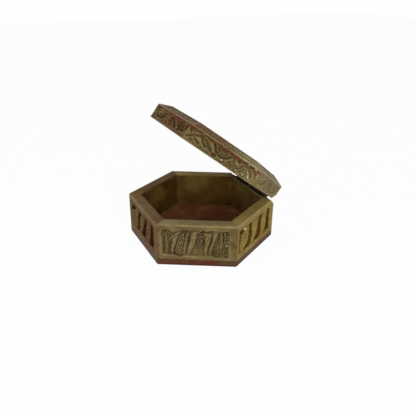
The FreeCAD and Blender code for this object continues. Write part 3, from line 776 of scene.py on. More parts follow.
@dataclass
class VineBand:
    """A waving vine on a side of the lid: what is left between furrows along the inside of its bends.

    Places are from the side's left end and from the lid's underside.
    """

    crest_in_middle: bool = False
    seed: int = 0
    full: float = 1.15  # how far the stem stands up from the bed
    bead_pitch: float = 1.2
    swell_pitch: float = 1.9
    rough_cut: float = 0.30
    furrow_cut: float = 0.90
    knob_cut: float = 0.5
    trough_furrows: tuple[tuple[Discs, float], ...] = (
        (
            ((1.0, 2.8, 0.25), (2.6, 3.6, 0.3), (5.6, 5.9, 0.35), (9.4, 7.2, 0.45), (13.0, 6.6, 0.5),
             (16.4, 4.7, 0.5), (18.2, 3.0, 0.3)), 0.85),
        (((10.2, 6.3, 0.3), (11.4, 4.9, 0.5), (13.8, 3.7, 0.6)), 1.0),
        (((14.0, 5.9, 0.25), (15.2, 4.8, 0.4), (16.7, 3.7, 0.45)), 0.95),
        (((6.0, 4.4, 0.25), (8.0, 3.6, 0.35), (9.8, 2.6, 0.4)), 0.7),
        (((3.4, 2.5, 0.2), (5.4, 2.3, 0.25)), 0.5),
        (
            ((18.2, 7.5, 0.4), (19.5, 6.2, 0.4), (21.2, 4.7, 0.45), (23.3, 3.8, 0.5), (25.5, 3.6, 0.55),
             (27.8, 4.4, 0.45), (29.8, 6.4, 0.4)), 1.0),
        (((21.2, 7.3, 0.3), (22.9, 5.8, 0.35), (25.3, 5.4, 0.35), (27.5, 6.6, 0.3)), 0.75),
        (((23.8, 7.5, 0.25), (25.2, 7.0, 0.3), (26.6, 7.6, 0.2)), 0.6),
        (((20.3, 2.2, 0.75), (21.5, 2.4, 0.75)), 0.9),
        (((1.6, 7.8, 0.4), (2.2, 6.9, 0.3)), 0.8),
        (((31.4, 7.6, 0.2), (32.6, 6.6, 0.3), (32.8, 5.2, 0.2)), 0.6),
        (((35.6, 7.5, 0.7), (35.7, 7.4, 0.7)), 1.0),
        (((36.9, 3.0, 0.35), (38.4, 5.8, 0.35), (41.2, 7.1, 0.35), (44.2, 5.9, 0.4), (46.2, 3.0, 0.4)), 0.75),
        (((38.8, 2.4, 0.25), (39.9, 4.6, 0.3), (41.3, 5.3, 0.3), (43.0, 4.5, 0.3), (44.0, 2.6, 0.3)), 0.9),
        (((46.6, 7.4, 0.3), (48.6, 5.6, 0.4), (49.4, 3.8, 0.3)), 0.7),
    )
    crest_furrows: tuple[tuple[Discs, float], ...] = (
        (((18.0, 7.3, 0.5), (17.1, 6.1, 0.95), (14.9, 4.2, 0.85), (10.6, 3.2, 0.4), (6.2, 3.5, 0.3)), 1.0),
        (((14.6, 6.9, 0.25), (12.4, 5.2, 0.35), (8.4, 5.0, 0.3)), 0.6),
        (((3.2, 6.4, 0.25), (4.4, 4.6, 0.35), (6.4, 4.2, 0.25)), 0.5),
        (((21.2, 8.0, 0.6), (21.3, 8.0, 0.6)), 0.9),
        (((24.4, 6.2, 0.4), (26.7, 7.2, 0.5), (29.4, 6.6, 0.65), (31.8, 4.8, 0.8), (33.9, 3.1, 0.8)), 1.0),
        (((23.4, 4.6, 0.25), (26.4, 5.2, 0.35), (28.8, 4.2, 0.35), (30.4, 2.7, 0.3)), 0.65),
        (((25.6, 3.2, 0.25), (27.4, 2.6, 0.25)), 0.6),
        (
            ((35.8, 7.2, 0.4), (37.3, 5.2, 0.45), (39.7, 3.8, 0.55), (43.4, 3.7, 0.55), (46.4, 5.0, 0.5),
             (48.0, 6.4, 0.4)), 1.0),
        (((38.2, 6.9, 0.3), (39.6, 5.5, 0.35), (43.0, 5.3, 0.35), (44.8, 6.7, 0.3)), 0.7),
        (((39.0, 7.3, 0.45), (39.1, 7.3, 0.45)), 0.9),
        (((41.6, 6.6, 0.5), (41.8, 6.5, 0.5)), 0.9),
        (((47.2, 7.2, 0.85), (47.4, 7.0, 0.85)), 0.9),
        (((38.4, 2.4, 0.6), (38.5, 2.4, 0.6)), 0.9),
        (((19.4, 3.4, 0.25), (21.4, 2.2, 0.3), (23.4, 2.4, 0.2)), 0.6),
    )
    trough_beads: Discs = (
        (26.2, 2.4, 0.95), (35.2, 5.7, 1.15), (36.7, 2.2, 0.8), (41.4, 2.3, 1.0), (3.4, 6.6, 0.8),
        (41.4, 4.4, 0.7), (31.0, 3.4, 0.7), (33.2, 3.0, 0.7),
    )
    crest_beads: Discs = (
        (2.4, 2.6, 0.7), (27.0, 4.0, 0.8), (40.6, 6.9, 0.6), (42.6, 7.2, 0.6), (20.6, 5.4, 0.7),
    )

    def height(self, x: Grid, w: Grid) -> Grid:
        """How far the carving stands up from the bed of the band.

        Args:
            x: Places along the side from its left end, in millimetres.
            w: Places up from the lid's underside.

        Returns:
            The height at each place.
        """
        along = x + 0.28 * wander(x, w, self.seed + 11, 6.0)
        up = w + 0.18 * wander(x, w, self.seed + 12, 5.0)
        furrows, knobs, reach, swell = self.trough_furrows, self.trough_beads, 0.70, 0.24
        if self.crest_in_middle:
            furrows, knobs, reach, swell = self.crest_furrows, self.crest_beads, 0.95, 0.12
        struck = peened(along, up, self.bead_pitch) * rise(1.0, 1.8, up) * rise(8.6, 7.6, up)
        nearest = np.max([limb(along, up, discs) for discs, _ in furrows], axis=0)
        swells = swell * np.cos((nearest + 0.95) * math.tau / self.swell_pitch)
        swells = swells * rise(-6.0, -2.2, nearest)
        total = self.full * (0.76 + 0.08 * wander(x, w, self.seed + 13, 2.4) + swells)
        total = total - self.rough_cut * (1.0 - struck) * self.rough_ground(along)
        for discs, share in furrows:
            total = total * (1.0 - self.furrow_cut * share * rise(-reach, 0.40, limb(along, up, discs)))
        for across, height, radius in knobs:
            away = np.hypot(along - across, up - height)
            total = total * (1.0 - self.knob_cut * hump(away - radius, 0.2, 0.34))
        return np.clip(np.maximum(total, beads(along, up, knobs, self.full)), 0.0, self.full * 1.06)

    def rough_ground(self, along: Grid) -> Grid:
        """Where the ground beside the vine is struck with fine dots, from 0 to 1.

        Args:
            along: Places along the side from its left end.

        Returns:
            The share at each place.
        """
        if self.crest_in_middle:
            return rise(0.0, 3.0, along) * rise(9.0, 5.0, along) + 0.35
        return rise(29.0, 31.5, along) * rise(48.5, 45.0, along) + 0.25


def grid_mesh(name: str, points: Grid, around: bool, marks: dict[str, Grid]) -> bpy.types.Object:
    """A closed mesh from a grid of points whose one direction closes on itself.

    Args:
        name: The object's name.
        points: Rows by columns by three, in millimetres.
        around: Whether the columns close on themselves; otherwise the rows do.
        marks: Numbers to keep at each point, as rows by columns.

    Returns:
        The object, with a flat cap over each open end.
    """
    rows, columns = points.shape[:2]
    index = np.arange(rows * columns).reshape(rows, columns)
    if around:
        index = np.concatenate([index, index[:, :1]], axis=1)
        caps = [index[0, :-1], index[-1, :-1][::-1]]
    else:
        index = np.concatenate([index, index[:1]], axis=0)
        caps = [index[:-1, 0][::-1], index[:-1, -1]]
    corners = [index[:-1, :-1], index[:-1, 1:], index[1:, 1:], index[1:, :-1]]
    quads = np.stack(corners, axis=-1).reshape(-1, 4)
    faces = quads.tolist() + [cap.tolist() for cap in caps]
    flat = points.reshape(-1, 3)
    a, b, c, d = (flat[quads[:, i]] for i in range(4))
    volume = sum(np.einsum("ij,ij->i", a, np.cross(*pair)).sum() for pair in ((b, c), (c, d)))
    if volume < 0:
        faces = [face[::-1] for face in faces]
    mesh = bpy.data.meshes.new(name)
    mesh.from_pydata((flat * MM).tolist(), [], faces)
    for mark, numbers in marks.items():
        stored = mesh.attributes.new(mark, "FLOAT", "POINT")
        spread = np.broadcast_to(numbers, (rows, columns)).astype(np.float32)
        stored.data.foreach_set("value", spread.ravel())
    mesh.shade_smooth()
    mesh.set_sharp_from_angle(angle=SHARP_EDGE)
    piece = bpy.data.objects.new(name, mesh)
    bpy.context.scene.collection.objects.link(piece)
    return piece


@dataclass
class Measures:
    """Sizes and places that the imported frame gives, in millimetres."""

    half_side: float = 0.0
    outer: float = 0.0
    inner: float = 0.0
    floor: float = 0.0
    rim: float = 0.0
    axis_back: float = 0.0
    axis_up: float = 0.0
    tilt: float = 0.0
    leaf_near: float = 0.0
    leaf_far: float = 0.0
    leaf_reach: float = 0.0

    @property
    def leaf_depth(self) -> float:
        """How far in from the hinge side's face the hinge leaves reach."""
        return self.outer - self.axis_back + self.leaf_reach

    @classmethod
    def read(cls) -> "Measures":
        """Takes the sizes from the frame's nodes and its joint.

        Returns:
            The sizes.
        """
        base_low, base_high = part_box("base_slab")
        wall_low, wall_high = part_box("wall_front")
        leaf_low, leaf_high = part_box("hinge_right_box_leaf")
        joint = frame["joints"][0]
        return cls(
            half_side=(base_high.x - base_low.x) / MM / 4,
            outer=-wall_low.y / MM,
            inner=-wall_high.y / MM,
            floor=base_high.z / MM,
            rim=wall_high.z / MM,
            axis_back=joint["pos_m"][1] / MM,
            axis_up=joint["pos_m"][2] / MM,
            tilt=math.radians(-joint["range_deg"][0]),
            leaf_near=leaf_low.x / MM,
            leaf_far=leaf_high.x / MM,
            leaf_reach=joint["pos_m"][1] / MM - leaf_low.y / MM,
        )


@dataclass
class Slab:
    """What the carved slabs share: their grid, their mitred ends and their hinge groove."""

    measures: Measures
    step: float = 0.19  # distance between columns of points
    core: float = 20.0  # how far from its middle a side is drawn in only by its mitres
    corner_round: float = 1.3
    groove: float = 4.2
    leaf_thick: float = 0.6
    leaf_play: float = 0.1
    crisp: float = 0.01  # half the width of a step

    def columns(self) -> Grid:
        """Places along a side, from its left corner to its right."""
        half = self.measures.half_side
        return np.linspace(-half, half, 2 * round(half / self.step) + 1)

    def corner_drop(self, x: Grid) -> Grid:
        """How far a rounded corner lies behind the side's flat face.

        Args:
            x: Places along the side from its middle.

        Returns:
            The drop at each place.
        """
        tangent = self.corner_round * TAN_MITRE
        short = np.clip(tangent - (self.measures.half_side - np.abs(x)), 0, tangent)
        return self.corner_round - np.sqrt(self.corner_round ** 2 - short ** 2)

    def mitre(self, x: Grid, depth: Grid) -> Grid:
        """Places along a side, drawn in so that its ends stay on the mitres at this depth.

        Args:
            x: Places along the side from its middle.
            depth: Depths behind the side's flat face.

        Returns:
            The drawn-in places.
        """
        half = self.measures.half_side
        limit = (self.measures.outer - depth) * TAN_MITRE
        away = np.abs(x)
        over = np.maximum(away - self.core, 0)
        drawn = np.minimum(away, self.core) + over * (limit - self.core) / (half - self.core)
        return np.sign(x) * drawn

    def groove_cut(self, x: Grid, depth: Grid, side: int) -> Grid:
        """How much of the hinge groove's slant is missing from the seam at a place of a side.

        Args:
            x: Places along the side from its middle.
            depth: Depths behind the side's flat face.
            side: The side's number, from the front one round to the right.

        Returns:
            The missing height at each place.
        """
        angle = math.tau * side / SIDES
        back = x * math.sin(angle) - (self.measures.outer - depth) * math.cos(angle)
        return np.maximum(self.groove - (self.measures.outer - back), 0)

    def in_leaf_bed(self, x: Grid, depth: Grid) -> Grid:
        """Where the beds of the hinge leaves lie, on the hinge side.

        Args:
            x: Places along the hinge side from its middle.
            depth: Depths behind its flat face.

        Returns:
            True where a bed lies.
        """
        sizes = self.measures
        away = np.abs(x)
        beside = (away > sizes.leaf_near - self.leaf_play) & (away < sizes.leaf_far + self.leaf_play)
        return beside & (depth < sizes.leaf_depth + self.leaf_play)

    def with_steps(self, places: Grid, edges: list[float]) -> Grid:
        """Places with a close pair added at each edge, so that a step there stays crisp."""
        pairs = [edge + side * self.crisp for edge in edges for side in (-1, 1)]
        return np.unique(np.concatenate([places, pairs]))

    def leaf_columns(self) -> list[float]:
        """Where the ends of the leaf beds lie along the hinge side.

        Returns:
            The four ends, from left to right.
        """
        near = self.measures.leaf_near - self.leaf_play
        far = self.measures.leaf_far + self.leaf_play
        return [-far, -near, near, far]

    def placed(self, side: int, x: Grid, depth: Grid, z: Grid) -> Grid:
        """Points of a side, between its mitres and turned to where the side lies.

        Args:
            side: The side's number, from the front one round to the right.
            x: Places along the side from its middle.
            depth: Depths behind the side's flat face.
            z: Heights.

        Returns:
            The points, with across, back and up in the last direction.
        """
        across, y = self.mitre(x, depth), depth - self.measures.outer
        angle = math.tau * side / SIDES
        return np.stack([
            across * math.cos(angle) - y * math.sin(angle),
            across * math.sin(angle) + y * math.cos(angle),
            z + 0 * across,
        ], axis=-1)


class Figures(Enum):
    """What is carved on a wall."""

    ELEPHANTS = "elephants"
    LEAVES = "leaves"


# Strokes of painted glint on the walls, by side, as chains of discs from the wall's left corner.
WALL_GLINTS: dict[int, tuple[Discs, ...]] = {
    1: (
        ((14.6, 23.2, 0.0), (12.6, 22.0, 0.05)), ((11.4, 20.9, 0.0), (11.0, 20.6, 0.0)),
        ((9.7, 19.5, -0.05), (9.4, 19.2, -0.05)), ((12.2, 18.6, -0.08), (11.5, 15.0, -0.04)),
        ((16.4, 21.8, 0.0), (16.6, 21.8, 0.0)), ((14.0, 11.0, 0.05), (14.1, 11.0, 0.05)),
        ((40.2, 13.9, -0.05), (40.1, 13.0, -0.05)),
    ),
    2: (((10.2, 22.8, 0.50), (11.3, 22.2, 0.55)), ((13.4, 17.6, 0.0), (13.5, 16.4, 0.05))),
}
RIM_PAINTED_LIGHT = {0: 0.25, 1: 0.75, 2: 0.85}  # painted light on the top of each wall, by side


@dataclass
class Wall(Slab):
    """One mitred wall with its sunk carved field."""

    name: str = ""
    side: int = 0
    figures: Figures = Figures.LEAVES
    finish: Finish = Finish.FRONT_OLIVE
    deep: float = 2.2
    left: float = 2.4  # margins round the field
    right: float = 4.6
    sill: float = 2.4
    head: float = 3.9
    hinge_head: float = 5.4
    edge_round: float = 0.55
    lip: float = 0.5  # strips along the seams where the carving fades
    tool_deep: float = 0.12
    thin_cut: float = 0.12  # how far the tallest carving still lies below the face
    face_deep: float = 0.08
    face_waves: Unevenness = ((3, 0.06, 12.0), (4, 0.04, 3.0))
    top_rows: int = 20
    inner_rows: int = 28
    nicks: int = 11
    nick_reach: float = 21.0
    nick_long: float = 1.6  # how much longer than deep a nick is
    nick_wide: Pair = (0.5, 1.3)
    nick_deep: Pair = (0.12, 0.38)
    near_cells: int = 5  # how far the grid is averaged to find edges
    soft_cells: int = 3
    wide_cells: int = 20
    slot_dirt_shade: float = 0.96  # shares of darkening by dirt, grime and painted shade, first for leaves
    slot_step_dirt_shade: float = 1.2
    low_dirt_shade: float = 0.38
    deep_dirt_shade: float = 0.34
    step_dirt_shade: float = 0.30
    grime_oil: float = 0.30
    left_darkening: float = 0.20
    seam_oil: float = 0.5
    edge_wear_light: float = 1.35  # shares of paling by wear and painted highlight
    high_wear_light: float = 0.30
    rim_wear_light: float = 0.75
    lip_wear_light: float = 0.9
    plain_paling: float = 0.55
    corner_red: float = 0.32  # shares of the stone's red
    run_red: float = 0.62
    patch_red: float = 0.22
    faint_red: float = 0.08
    oiled_inside: float = 0.86  # how far the hinge side's inner face has the inside's colour

    def field_size(self) -> tuple[float, float]:
        """Width and height of the sunk field.

        Returns:
            The width and the height.
        """
        sizes = self.measures
        head = self.hinge_head if self.side == HINGE_SIDE else self.head
        return 2 * sizes.half_side - self.left - self.right, sizes.rim - sizes.floor - self.sill - head

    def relief(self, x: Grid, z: Grid) -> Grid:
        """How deep the outer face is cut at each place, in the wall's own coordinates.

        Args:
            x: Places along the wall from its middle.
            z: Heights above the table.

        Returns:
            The depth at each place.
        """
        wide, tall = self.field_size()
        x, z = np.broadcast_arrays(x, z)
        across = x + self.measures.half_side - self.left
        up = (z - self.measures.floor - self.sill) * FIELD_TALL / tall
        if self.figures is Figures.ELEPHANTS:
            scene = ElephantScene(wide)
            up = (up + scene.lift) * scene.squeeze
        else:
            scene = LeafScene(wide, FIELD_TALL, seed=self.side, turned=self.side == 0)
        inside = scene.margin(across, up) + 0.25 * wander(x, z, self.side * 7 + 1, 6.0)
        sunk = rise(-0.2, 0.9, inside)
        tool_marks = self.tool_deep * wander(x, z, self.side * 7 + 2, 2.4)
        height = scene.height(across, up)
        if self.figures is Figures.LEAVES:
            height = height * (1.0 - 0.13 * hump(inside, 0.7, 0.8))
        depth = sunk * np.clip(self.deep - height + tool_marks, self.thin_cut, self.deep)
        face = self.face_deep
        for seed, deep, length in self.face_waves:
            face = face + deep * wander(x, z, self.side * 7 + seed, length)
        ends = rise(0.0, 1.5, self.measures.half_side - np.abs(x))
        return np.maximum(depth, np.maximum(face, 0.0) * ends)

    def chips(self, x: Grid, depth: Grid) -> Grid:
        """Small nicks in the rim's outer and inner edges, as depths.

        Args:
            x: Places along the wall from its middle.
            depth: Depths behind the wall's outer face.

        Returns:
            The depth of the nicks at each place.
        """
        draw = np.random.default_rng(self.side + 17)
        thick = self.measures.outer - self.measures.inner
        total = 0.02 * (1 + wander(x, depth, self.side + 40, 5.0))
        for _ in range(self.nicks):
            middle = draw.uniform(-self.nick_reach, self.nick_reach)
            edge = draw.choice((0.0, thick))
            size = draw.uniform(*self.nick_wide)
            away = np.hypot((x - middle) / self.nick_long, depth - edge)
            total = total + draw.uniform(*self.nick_deep) * rise(size, 0.2, away)
        return total

    def profile(self) -> tuple[Grid, Grid, Grid]:
        """The wall's section, up its outer face, over its rim and down its inner face.

        Returns:
            The depth and the height of each row of points, and 1 for rows on the inner face.
        """
        sizes = self.measures
        thick = sizes.outer - sizes.inner
        turn = self.edge_round
        arc = np.linspace(0, math.pi / 2, 5)[1:-1]
        face = np.linspace(sizes.floor, sizes.rim - turn, round((sizes.rim - sizes.floor) / self.step))
        flat = np.linspace(turn, thick - turn, self.top_rows)
        if self.side == HINGE_SIDE:
            flat = self.with_steps(flat, [self.groove, sizes.leaf_depth + self.leaf_play])
        down = np.linspace(sizes.rim - turn, sizes.floor, self.inner_rows)
        less, more = turn * (1 - np.cos(arc)), turn * (1 - np.sin(arc))
        depth = np.concatenate([0 * face, less, flat, thick - more, 0 * down + thick])
        height = np.concatenate([face, sizes.rim - more, 0 * flat + sizes.rim, sizes.rim - less, down])
        inner = np.concatenate([0 * face, 0 * arc, 0 * flat, 0 * arc, 0 * down + 1])
        return depth, height, inner

    def build(self) -> bpy.types.Object:
        """Makes the wall's mesh, turned to its side, and dresses it.

        Returns:
            The wall as an object.
        """
        sizes = self.measures
        x = self.columns()
        if self.side == HINGE_SIDE:
            x = self.with_steps(x, self.leaf_columns())
        depth, height, inner = (row[:, None] for row in self.profile())
        x = x[None, :]
        outside = depth == 0
        # the hinge groove squeezes the outer face and slants the rim
        top = self.groove_cut(x, 0 * x, self.side)
        missing = self.groove_cut(x, depth, self.side)
        tall = sizes.rim - self.edge_round - sizes.floor
        squeezed = sizes.floor + (height - sizes.floor) * (tall - top) / tall
        z = np.where(outside, squeezed, height - missing * (height > sizes.floor + tall - 1e-6))
        lower = sizes.rim - missing - self.edge_round
        z = np.where(~outside & (inner > 0), np.minimum(height, np.maximum(lower, sizes.floor)), z)
        # carving outside, which fades towards the seams
        fade = rise(0.0, self.lip, z - sizes.floor) * rise(0.0, self.lip, sizes.rim - top - z)
        cut = np.where(outside, self.relief(x, z) * fade, 0.0)
        # chips and leaf beds in the rim
        nicked = self.chips(x, depth) * ((inner == 0) & ~outside)
        nicked = nicked * rise(0.0, 1.0, sizes.half_side - np.abs(x) - depth * TAN_MITRE)
        if self.side == HINGE_SIDE:
            bedded = self.in_leaf_bed(x, depth) & ~outside
            z = np.where(bedded, np.minimum(z, sizes.rim - self.leaf_thick), z)
            nicked = np.where(depth < sizes.leaf_depth + 1.0, 0.0, nicked)
        z = z - nicked * (height > sizes.rim - 0.01)
        drop = self.corner_drop(x) * np.clip(1 - depth / 2.0, 0, 1)
        points = self.placed(self.side, x, depth + drop + cut, z)
        marks = self.marks(x, z + 0 * x, cut + 0 * x, depth + 0 * x, inner + 0 * x)
        piece = grid_mesh(self.name + "_carved", points, False, marks)
        piece.data.materials.append(self.finish.value.material())
        return piece

    def marks(self, x: Grid, z: Grid, cut: Grid, depth: Grid, inner: Grid) -> dict[str, Grid]:
        """What the wall's finish needs to know of each point.

        Args:
            x: Places along the wall.
            z: Heights.
            cut: How deep the carving goes.
            depth: How far in the section each point lies.
            inner: 1 on the inner face, and 0 elsewhere.

        Returns:
            How dark with dirt and painted shade, how pale with wear and painted light, and how oiled, red and
            glinting the wall is.
        """
        sizes = self.measures
        on_face = depth == 0
        near = blur(cut, self.near_cells)
        wide = blur(cut, self.wide_cells)
        # dirt and painted shade in the hollows, grime, darker seams, and darker towards the wall's left end
        if self.figures is Figures.LEAVES:
            dirt_and_shade = self.slot_dirt_shade * slope(blur(cut, self.soft_cells), 0.34, 0.9)
            dirt_and_shade = dirt_and_shade + self.slot_step_dirt_shade * np.clip(cut - near, 0, 1)
        else:
            dirt_and_shade = self.low_dirt_shade * slope(near, 0.55, 0.9) + self.deep_dirt_shade * slope(cut, 0.9, 1.2)
            dirt_and_shade = dirt_and_shade + self.step_dirt_shade * np.clip(cut - near, 0, 1)
            grime = np.clip(wander(x, z, 71, 9.0) + 0.5 * wander(x, z, 72, 3.0) - 0.15, 0, 1)
            grime = self.grime_oil * grime * (near < 0.4)
            dirt_and_shade = dirt_and_shade + grime + self.left_darkening * rise(4.0, 0.5, sizes.half_side + x)
        seam = np.exp(-(sizes.half_side - np.abs(x)) / 0.22) * (inner == 0)
        # wear and painted highlight on what stands up and along the rim's edges, and painted light on the rim
        # tops
        paled = 0.75 + 0.35 * wander(x, 0 * x, self.side + 50, 9.0)
        wear_and_light = np.clip((near - cut) * self.edge_wear_light + (wide - cut) * self.high_wear_light - 0.04, 0, 0.9)
        wear_and_light = wear_and_light + self.rim_wear_light * paled * hump(z, sizes.rim, 0.9) * on_face
        if self.figures is Figures.LEAVES:
            wear_and_light = wear_and_light + self.plain_paling * np.clip(1.0 - wide / 0.35, 0, 1) * on_face
        on_rim = (z > sizes.rim - 1.2) & (inner == 0)
        wear_and_light = wear_and_light + self.lip_wear_light * paled * hump(depth, 0.30, 0.55) * on_rim
        # painted light on the rim tops
        wear_and_light = wear_and_light + RIM_PAINTED_LIGHT.get(self.side, 0.0) * (on_rim & (depth > 0.3))
        return {
            "dirt_and_shade": np.clip(dirt_and_shade + self.seam_oil * seam, 0, 1),
            "wear_and_light": np.clip(wear_and_light, 0, 1),
            "inside": inner * (self.oiled_inside if self.side == HINGE_SIDE else 1.0),
            "blush": self.blush(x, z) * (inner == 0),
            "glint": self.glint(x, z) * (depth < 0.1),
        }

    def blush(self, x: Grid, z: Grid) -> Grid:
        """How red the stone runs at each place of this wall.

        Args:
            x: Places along the wall from its middle.
            z: Heights above the table.

        Returns:
            The share of red at each place.
        """
        low = 1.0 - 0.5 * (z - self.measures.floor) / (self.measures.rim - self.measures.floor)
        corner = rise(2.6, 0.2, self.measures.half_side + x) * (self.side == 1)
        run = rise(-12.0, 18.0, x) * low * (self.side == 0)
        patch = spot(x, z, (-5.6, 10.5), (1.5, 2.6)) * (self.side == 1)
        share = self.corner_red * corner + self.run_red * run + self.patch_red * patch
        return np.clip(share + self.faint_red, 0, 1)

    def glint(self, x: Grid, z: Grid) -> Grid:
        """Where a glint is painted on this wall, which also gets a glossy coat there."""
        return strokes_on(x + self.measures.half_side, z, WALL_GLINTS.get(self.side, ()))


@dataclass
class BaseSlab(Slab):
    """The floor slab, with its eased edges."""

    edge_round: float = 0.5
    face_rows: int = 22
    face_deep: float = 0.06
    face_waves: Unevenness = ((60, 0.05, 7.0), (70, 0.04, 2.0))
    foot_shade: float = 0.6
    red_middle: float = 0.32
    red_long: float = 0.30
    red_short: float = 0.12
    finish: Finish = Finish.BASE_STONE

    def build(self) -> bpy.types.Object:
        """Makes the slab's mesh and dresses it.

        Returns:
            The floor slab as an object.
        """
        sizes = self.measures
        turn = self.edge_round
        arc = np.linspace(0, math.pi / 2, 5)
        face = np.linspace(turn, sizes.floor - 0.02, self.face_rows)[1:]
        thick = sizes.outer - sizes.inner
        top = np.array([0.6, 3.0, thick - 0.6, thick - 0.1, thick + 0.8])
        depth = np.concatenate([turn * (1 - np.sin(arc)), 0 * face, top])[:, None]
        height = np.concatenate([turn * (1 - np.cos(arc)), face, 0 * top + sizes.floor])[:, None]
        on_face = (depth < 0.01) & (height > turn) & (height < sizes.floor - 0.1)
        x = self.columns()[None, :-1]
        ends = rise(0.0, 1.5, sizes.half_side - np.abs(x))
        parts = []
        for side in range(SIDES):
            rough = self.face_deep
            for seed, deep, length in self.face_waves:
                rough = rough + deep * wander(x, height, side + seed, length)
            total = depth + self.corner_drop(x) * (depth < 1.0) + np.maximum(rough, 0) * ends * on_face
            parts.append(self.placed(side, x, total, height))
        points = np.concatenate(parts, axis=1)
        # painted shade along the slab's foot, where it meets the table
        foot = hump(height, 0.0, 0.9) * (depth < 0.6)
        place = np.linspace(0.0, SIDES, points.shape[1])[None, :]
        red = self.red_middle + self.red_long * np.sin(place * 4.7 - 5.6)
        red = red + self.red_short * np.sin(place * 13.0)
        none = 0 * foot
        marks = {
            "dirt_and_shade": self.foot_shade * foot, "wear_and_light": none, "inside": (depth > thick - 0.3) * 1.0,
            "blush": red + none, "glint": none,
        }
        piece = grid_mesh("base_slab_eased", points, True, marks)
        piece.data.materials.append(self.finish.value.material())
        return piece


@dataclass
class LidSlab(Slab):
    """The lid: carved sides, a bevel with shallow scrolls, and the other half of the hinge groove."""

    step: float = 0.26
    seat_gap: float = 0.2
    rim_tall: float = 10.1
    bevel_rise: float = 3.6
    bevel_inset: float = 7.8
    border: float = 0.7
    band_deep: float = 1.3
    edge_round: float = 0.45
    ridge_round: float = 0.8
    under: float = 7.6  # how far in the underside is drawn before its flat cap
    under_rows: int = 6
    side_rows: int = 42
    bevel_rows: int = 27
    scroll_pitch: float = 7.1
    scroll_middle: float = 4.2
    scroll_radius: float = 1.7
    scroll_deep: float = 0.50
    flute_pitch: float = 1.5
    dot_pitch: float = 2.3
    dot_rows: tuple[Pair, ...] = ((1.4, 0.62), (6.8, 0.55))  # how far up the bevel, and how wide
    near_cells: int = 4
    band_dirt_shade: float = 0.56  # shares of darkening by dirt and painted shade
    step_dirt_shade: float = 0.5
    scroll_dirt_shade: float = 1.2
    edge_wear_light: float = 1.15  # shares of paling by wear and painted highlight
    ridge_wear_light: float = 0.9
    oiled_under: float = 0.7
    front_pale: float = 0.22
    right_pale: float = 0.55
    bevel_pale: float = 0.4
    vein_up: float = 9.0
    vein_wide: float = 1.45
    vein_red: float = 0.72  # shares of the stone's red
    spot_red: float = 0.9
    other_red: float = 0.30
    high_left_red: float = 0.36
    right_left_red: float = 0.40
    bevel_red: float = 0.12
    bevel_red_waves: float = 0.14
    bevel_red_patch: float = 0.42
    finish: Finish = Finish.LID_STONE
    # strokes of painted glint on the front side
    painted_glint: tuple[Discs, ...] = (
        ((0.7, 2.2, 0.20), (1.5, 2.2, 0.15)), ((9.3, 6.3, 0.0), (9.6, 5.4, 0.05)),
        ((9.9, 5.2, 0.05), (11.3, 5.3, 0.05)), ((11.3, 2.4, 0.15), (11.5, 1.6, 0.10)),
        ((15.4, 5.9, -0.05), (17.6, 5.4, 0.0)), ((17.9, 5.0, 0.0), (19.6, 3.4, 0.10)),
        ((19.2, 3.0, 0.20), (20.2, 2.2, 0.20)), ((16.2, 2.1, 0.15), (16.4, 1.8, 0.10)),
        ((16.2, 9.1, 0.0), (16.9, 8.7, 0.05)), ((21.0, 8.9, 0.10), (22.2, 8.7, 0.15)),
        ((12.2, 9.95, 0.0), (21.6, 10.0, 0.0)), ((24.2, 7.0, 0.0), (24.4, 5.4, 0.0)),
        ((-15.6, 5.4, -0.10), (-15.2, 4.7, -0.10)),
    )

    def band(self, x: Grid, w: Grid, side: int) -> Grid:
        """How deep a side of the lid is cut at each place.

        Args:
            x: Places along the side from its middle, in millimetres.
            w: Heights above the lid's underside.
            side: The side's number, from the front one round to the right.

        Returns:
            The depth at each place.
        """
        x, w = np.broadcast_arrays(x, w)
        low = self.border + (self.groove if side == HINGE_SIDE else 0.0)
        vine = VineBand(crest_in_middle=side % 2 == 0, seed=side)
        raised = vine.height(x + self.measures.half_side, w)
        inside = np.minimum(w - low, self.rim_tall - self.border - w)
        sunk = rise(-0.25, 0.6, inside + 0.16 * wander(x, w, side + 80, 7.0))
        face = 0.05 + 0.05 * wander(x, w, side + 90, 9.0)
        kept = 0.25 + 0.75 * rise(0.2, 1.8, self.measures.half_side - np.abs(x))
        return np.maximum(sunk * (self.band_deep - raised) * kept, np.maximum(face, 0))

    def scrolls(self, x: Grid, run: Grid, side: int) -> Grid:
        """Shallow cuts in the bevel: a row of curled leaves between two rows of dots.

        Args:
            x: Places along the side from its middle.
            run: How far up the bevel, measured inwards.
            side: The side's number, from the front one round to the right.

        Returns:
            The depth of the cuts at each place.
        """
        x, run = np.broadcast_arrays(x, run)
        bent = x + 0.5 * wander(x, run, side + 30, 7.0)
        cell = (bent + 0.35 * self.scroll_pitch * side) / self.scroll_pitch
        near = (cell - np.floor(cell) - 0.5) * self.scroll_pitch
        up = run - self.scroll_middle
        away = np.hypot(near, up * 1.1)
        hook = hump(away, self.scroll_radius, 0.34) * rise(-1.2, 0.2, near + 0.6 * up + 0.5)
        eye = hump(np.hypot(near + 0.2, up), 0.0, 0.55)
        flute = 0.5 + 0.5 * np.cos((near * 0.8 + up * 0.9) * math.tau / self.flute_pitch)
        flute = flute ** 2 * rise(1.9, 2.6, away) * rise(3.2, 2.4, np.abs(up))
        row = (bent / self.dot_pitch - np.floor(bent / self.dot_pitch) - 0.5) * self.dot_pitch
        dots = sum(hump(np.hypot(row, run - middle), 0.0, wide) for middle, wide in self.dot_rows)
        ends = rise(0.8, 2.2, (self.measures.outer - run) * TAN_MITRE - np.abs(x))
        rough = 0.05 + 0.05 * wander(x, run, side + 31, 3.0)
        return (self.scroll_deep * (np.clip(hook + eye + 0.6 * flute, 0, 1) + dots) + rough) * ends

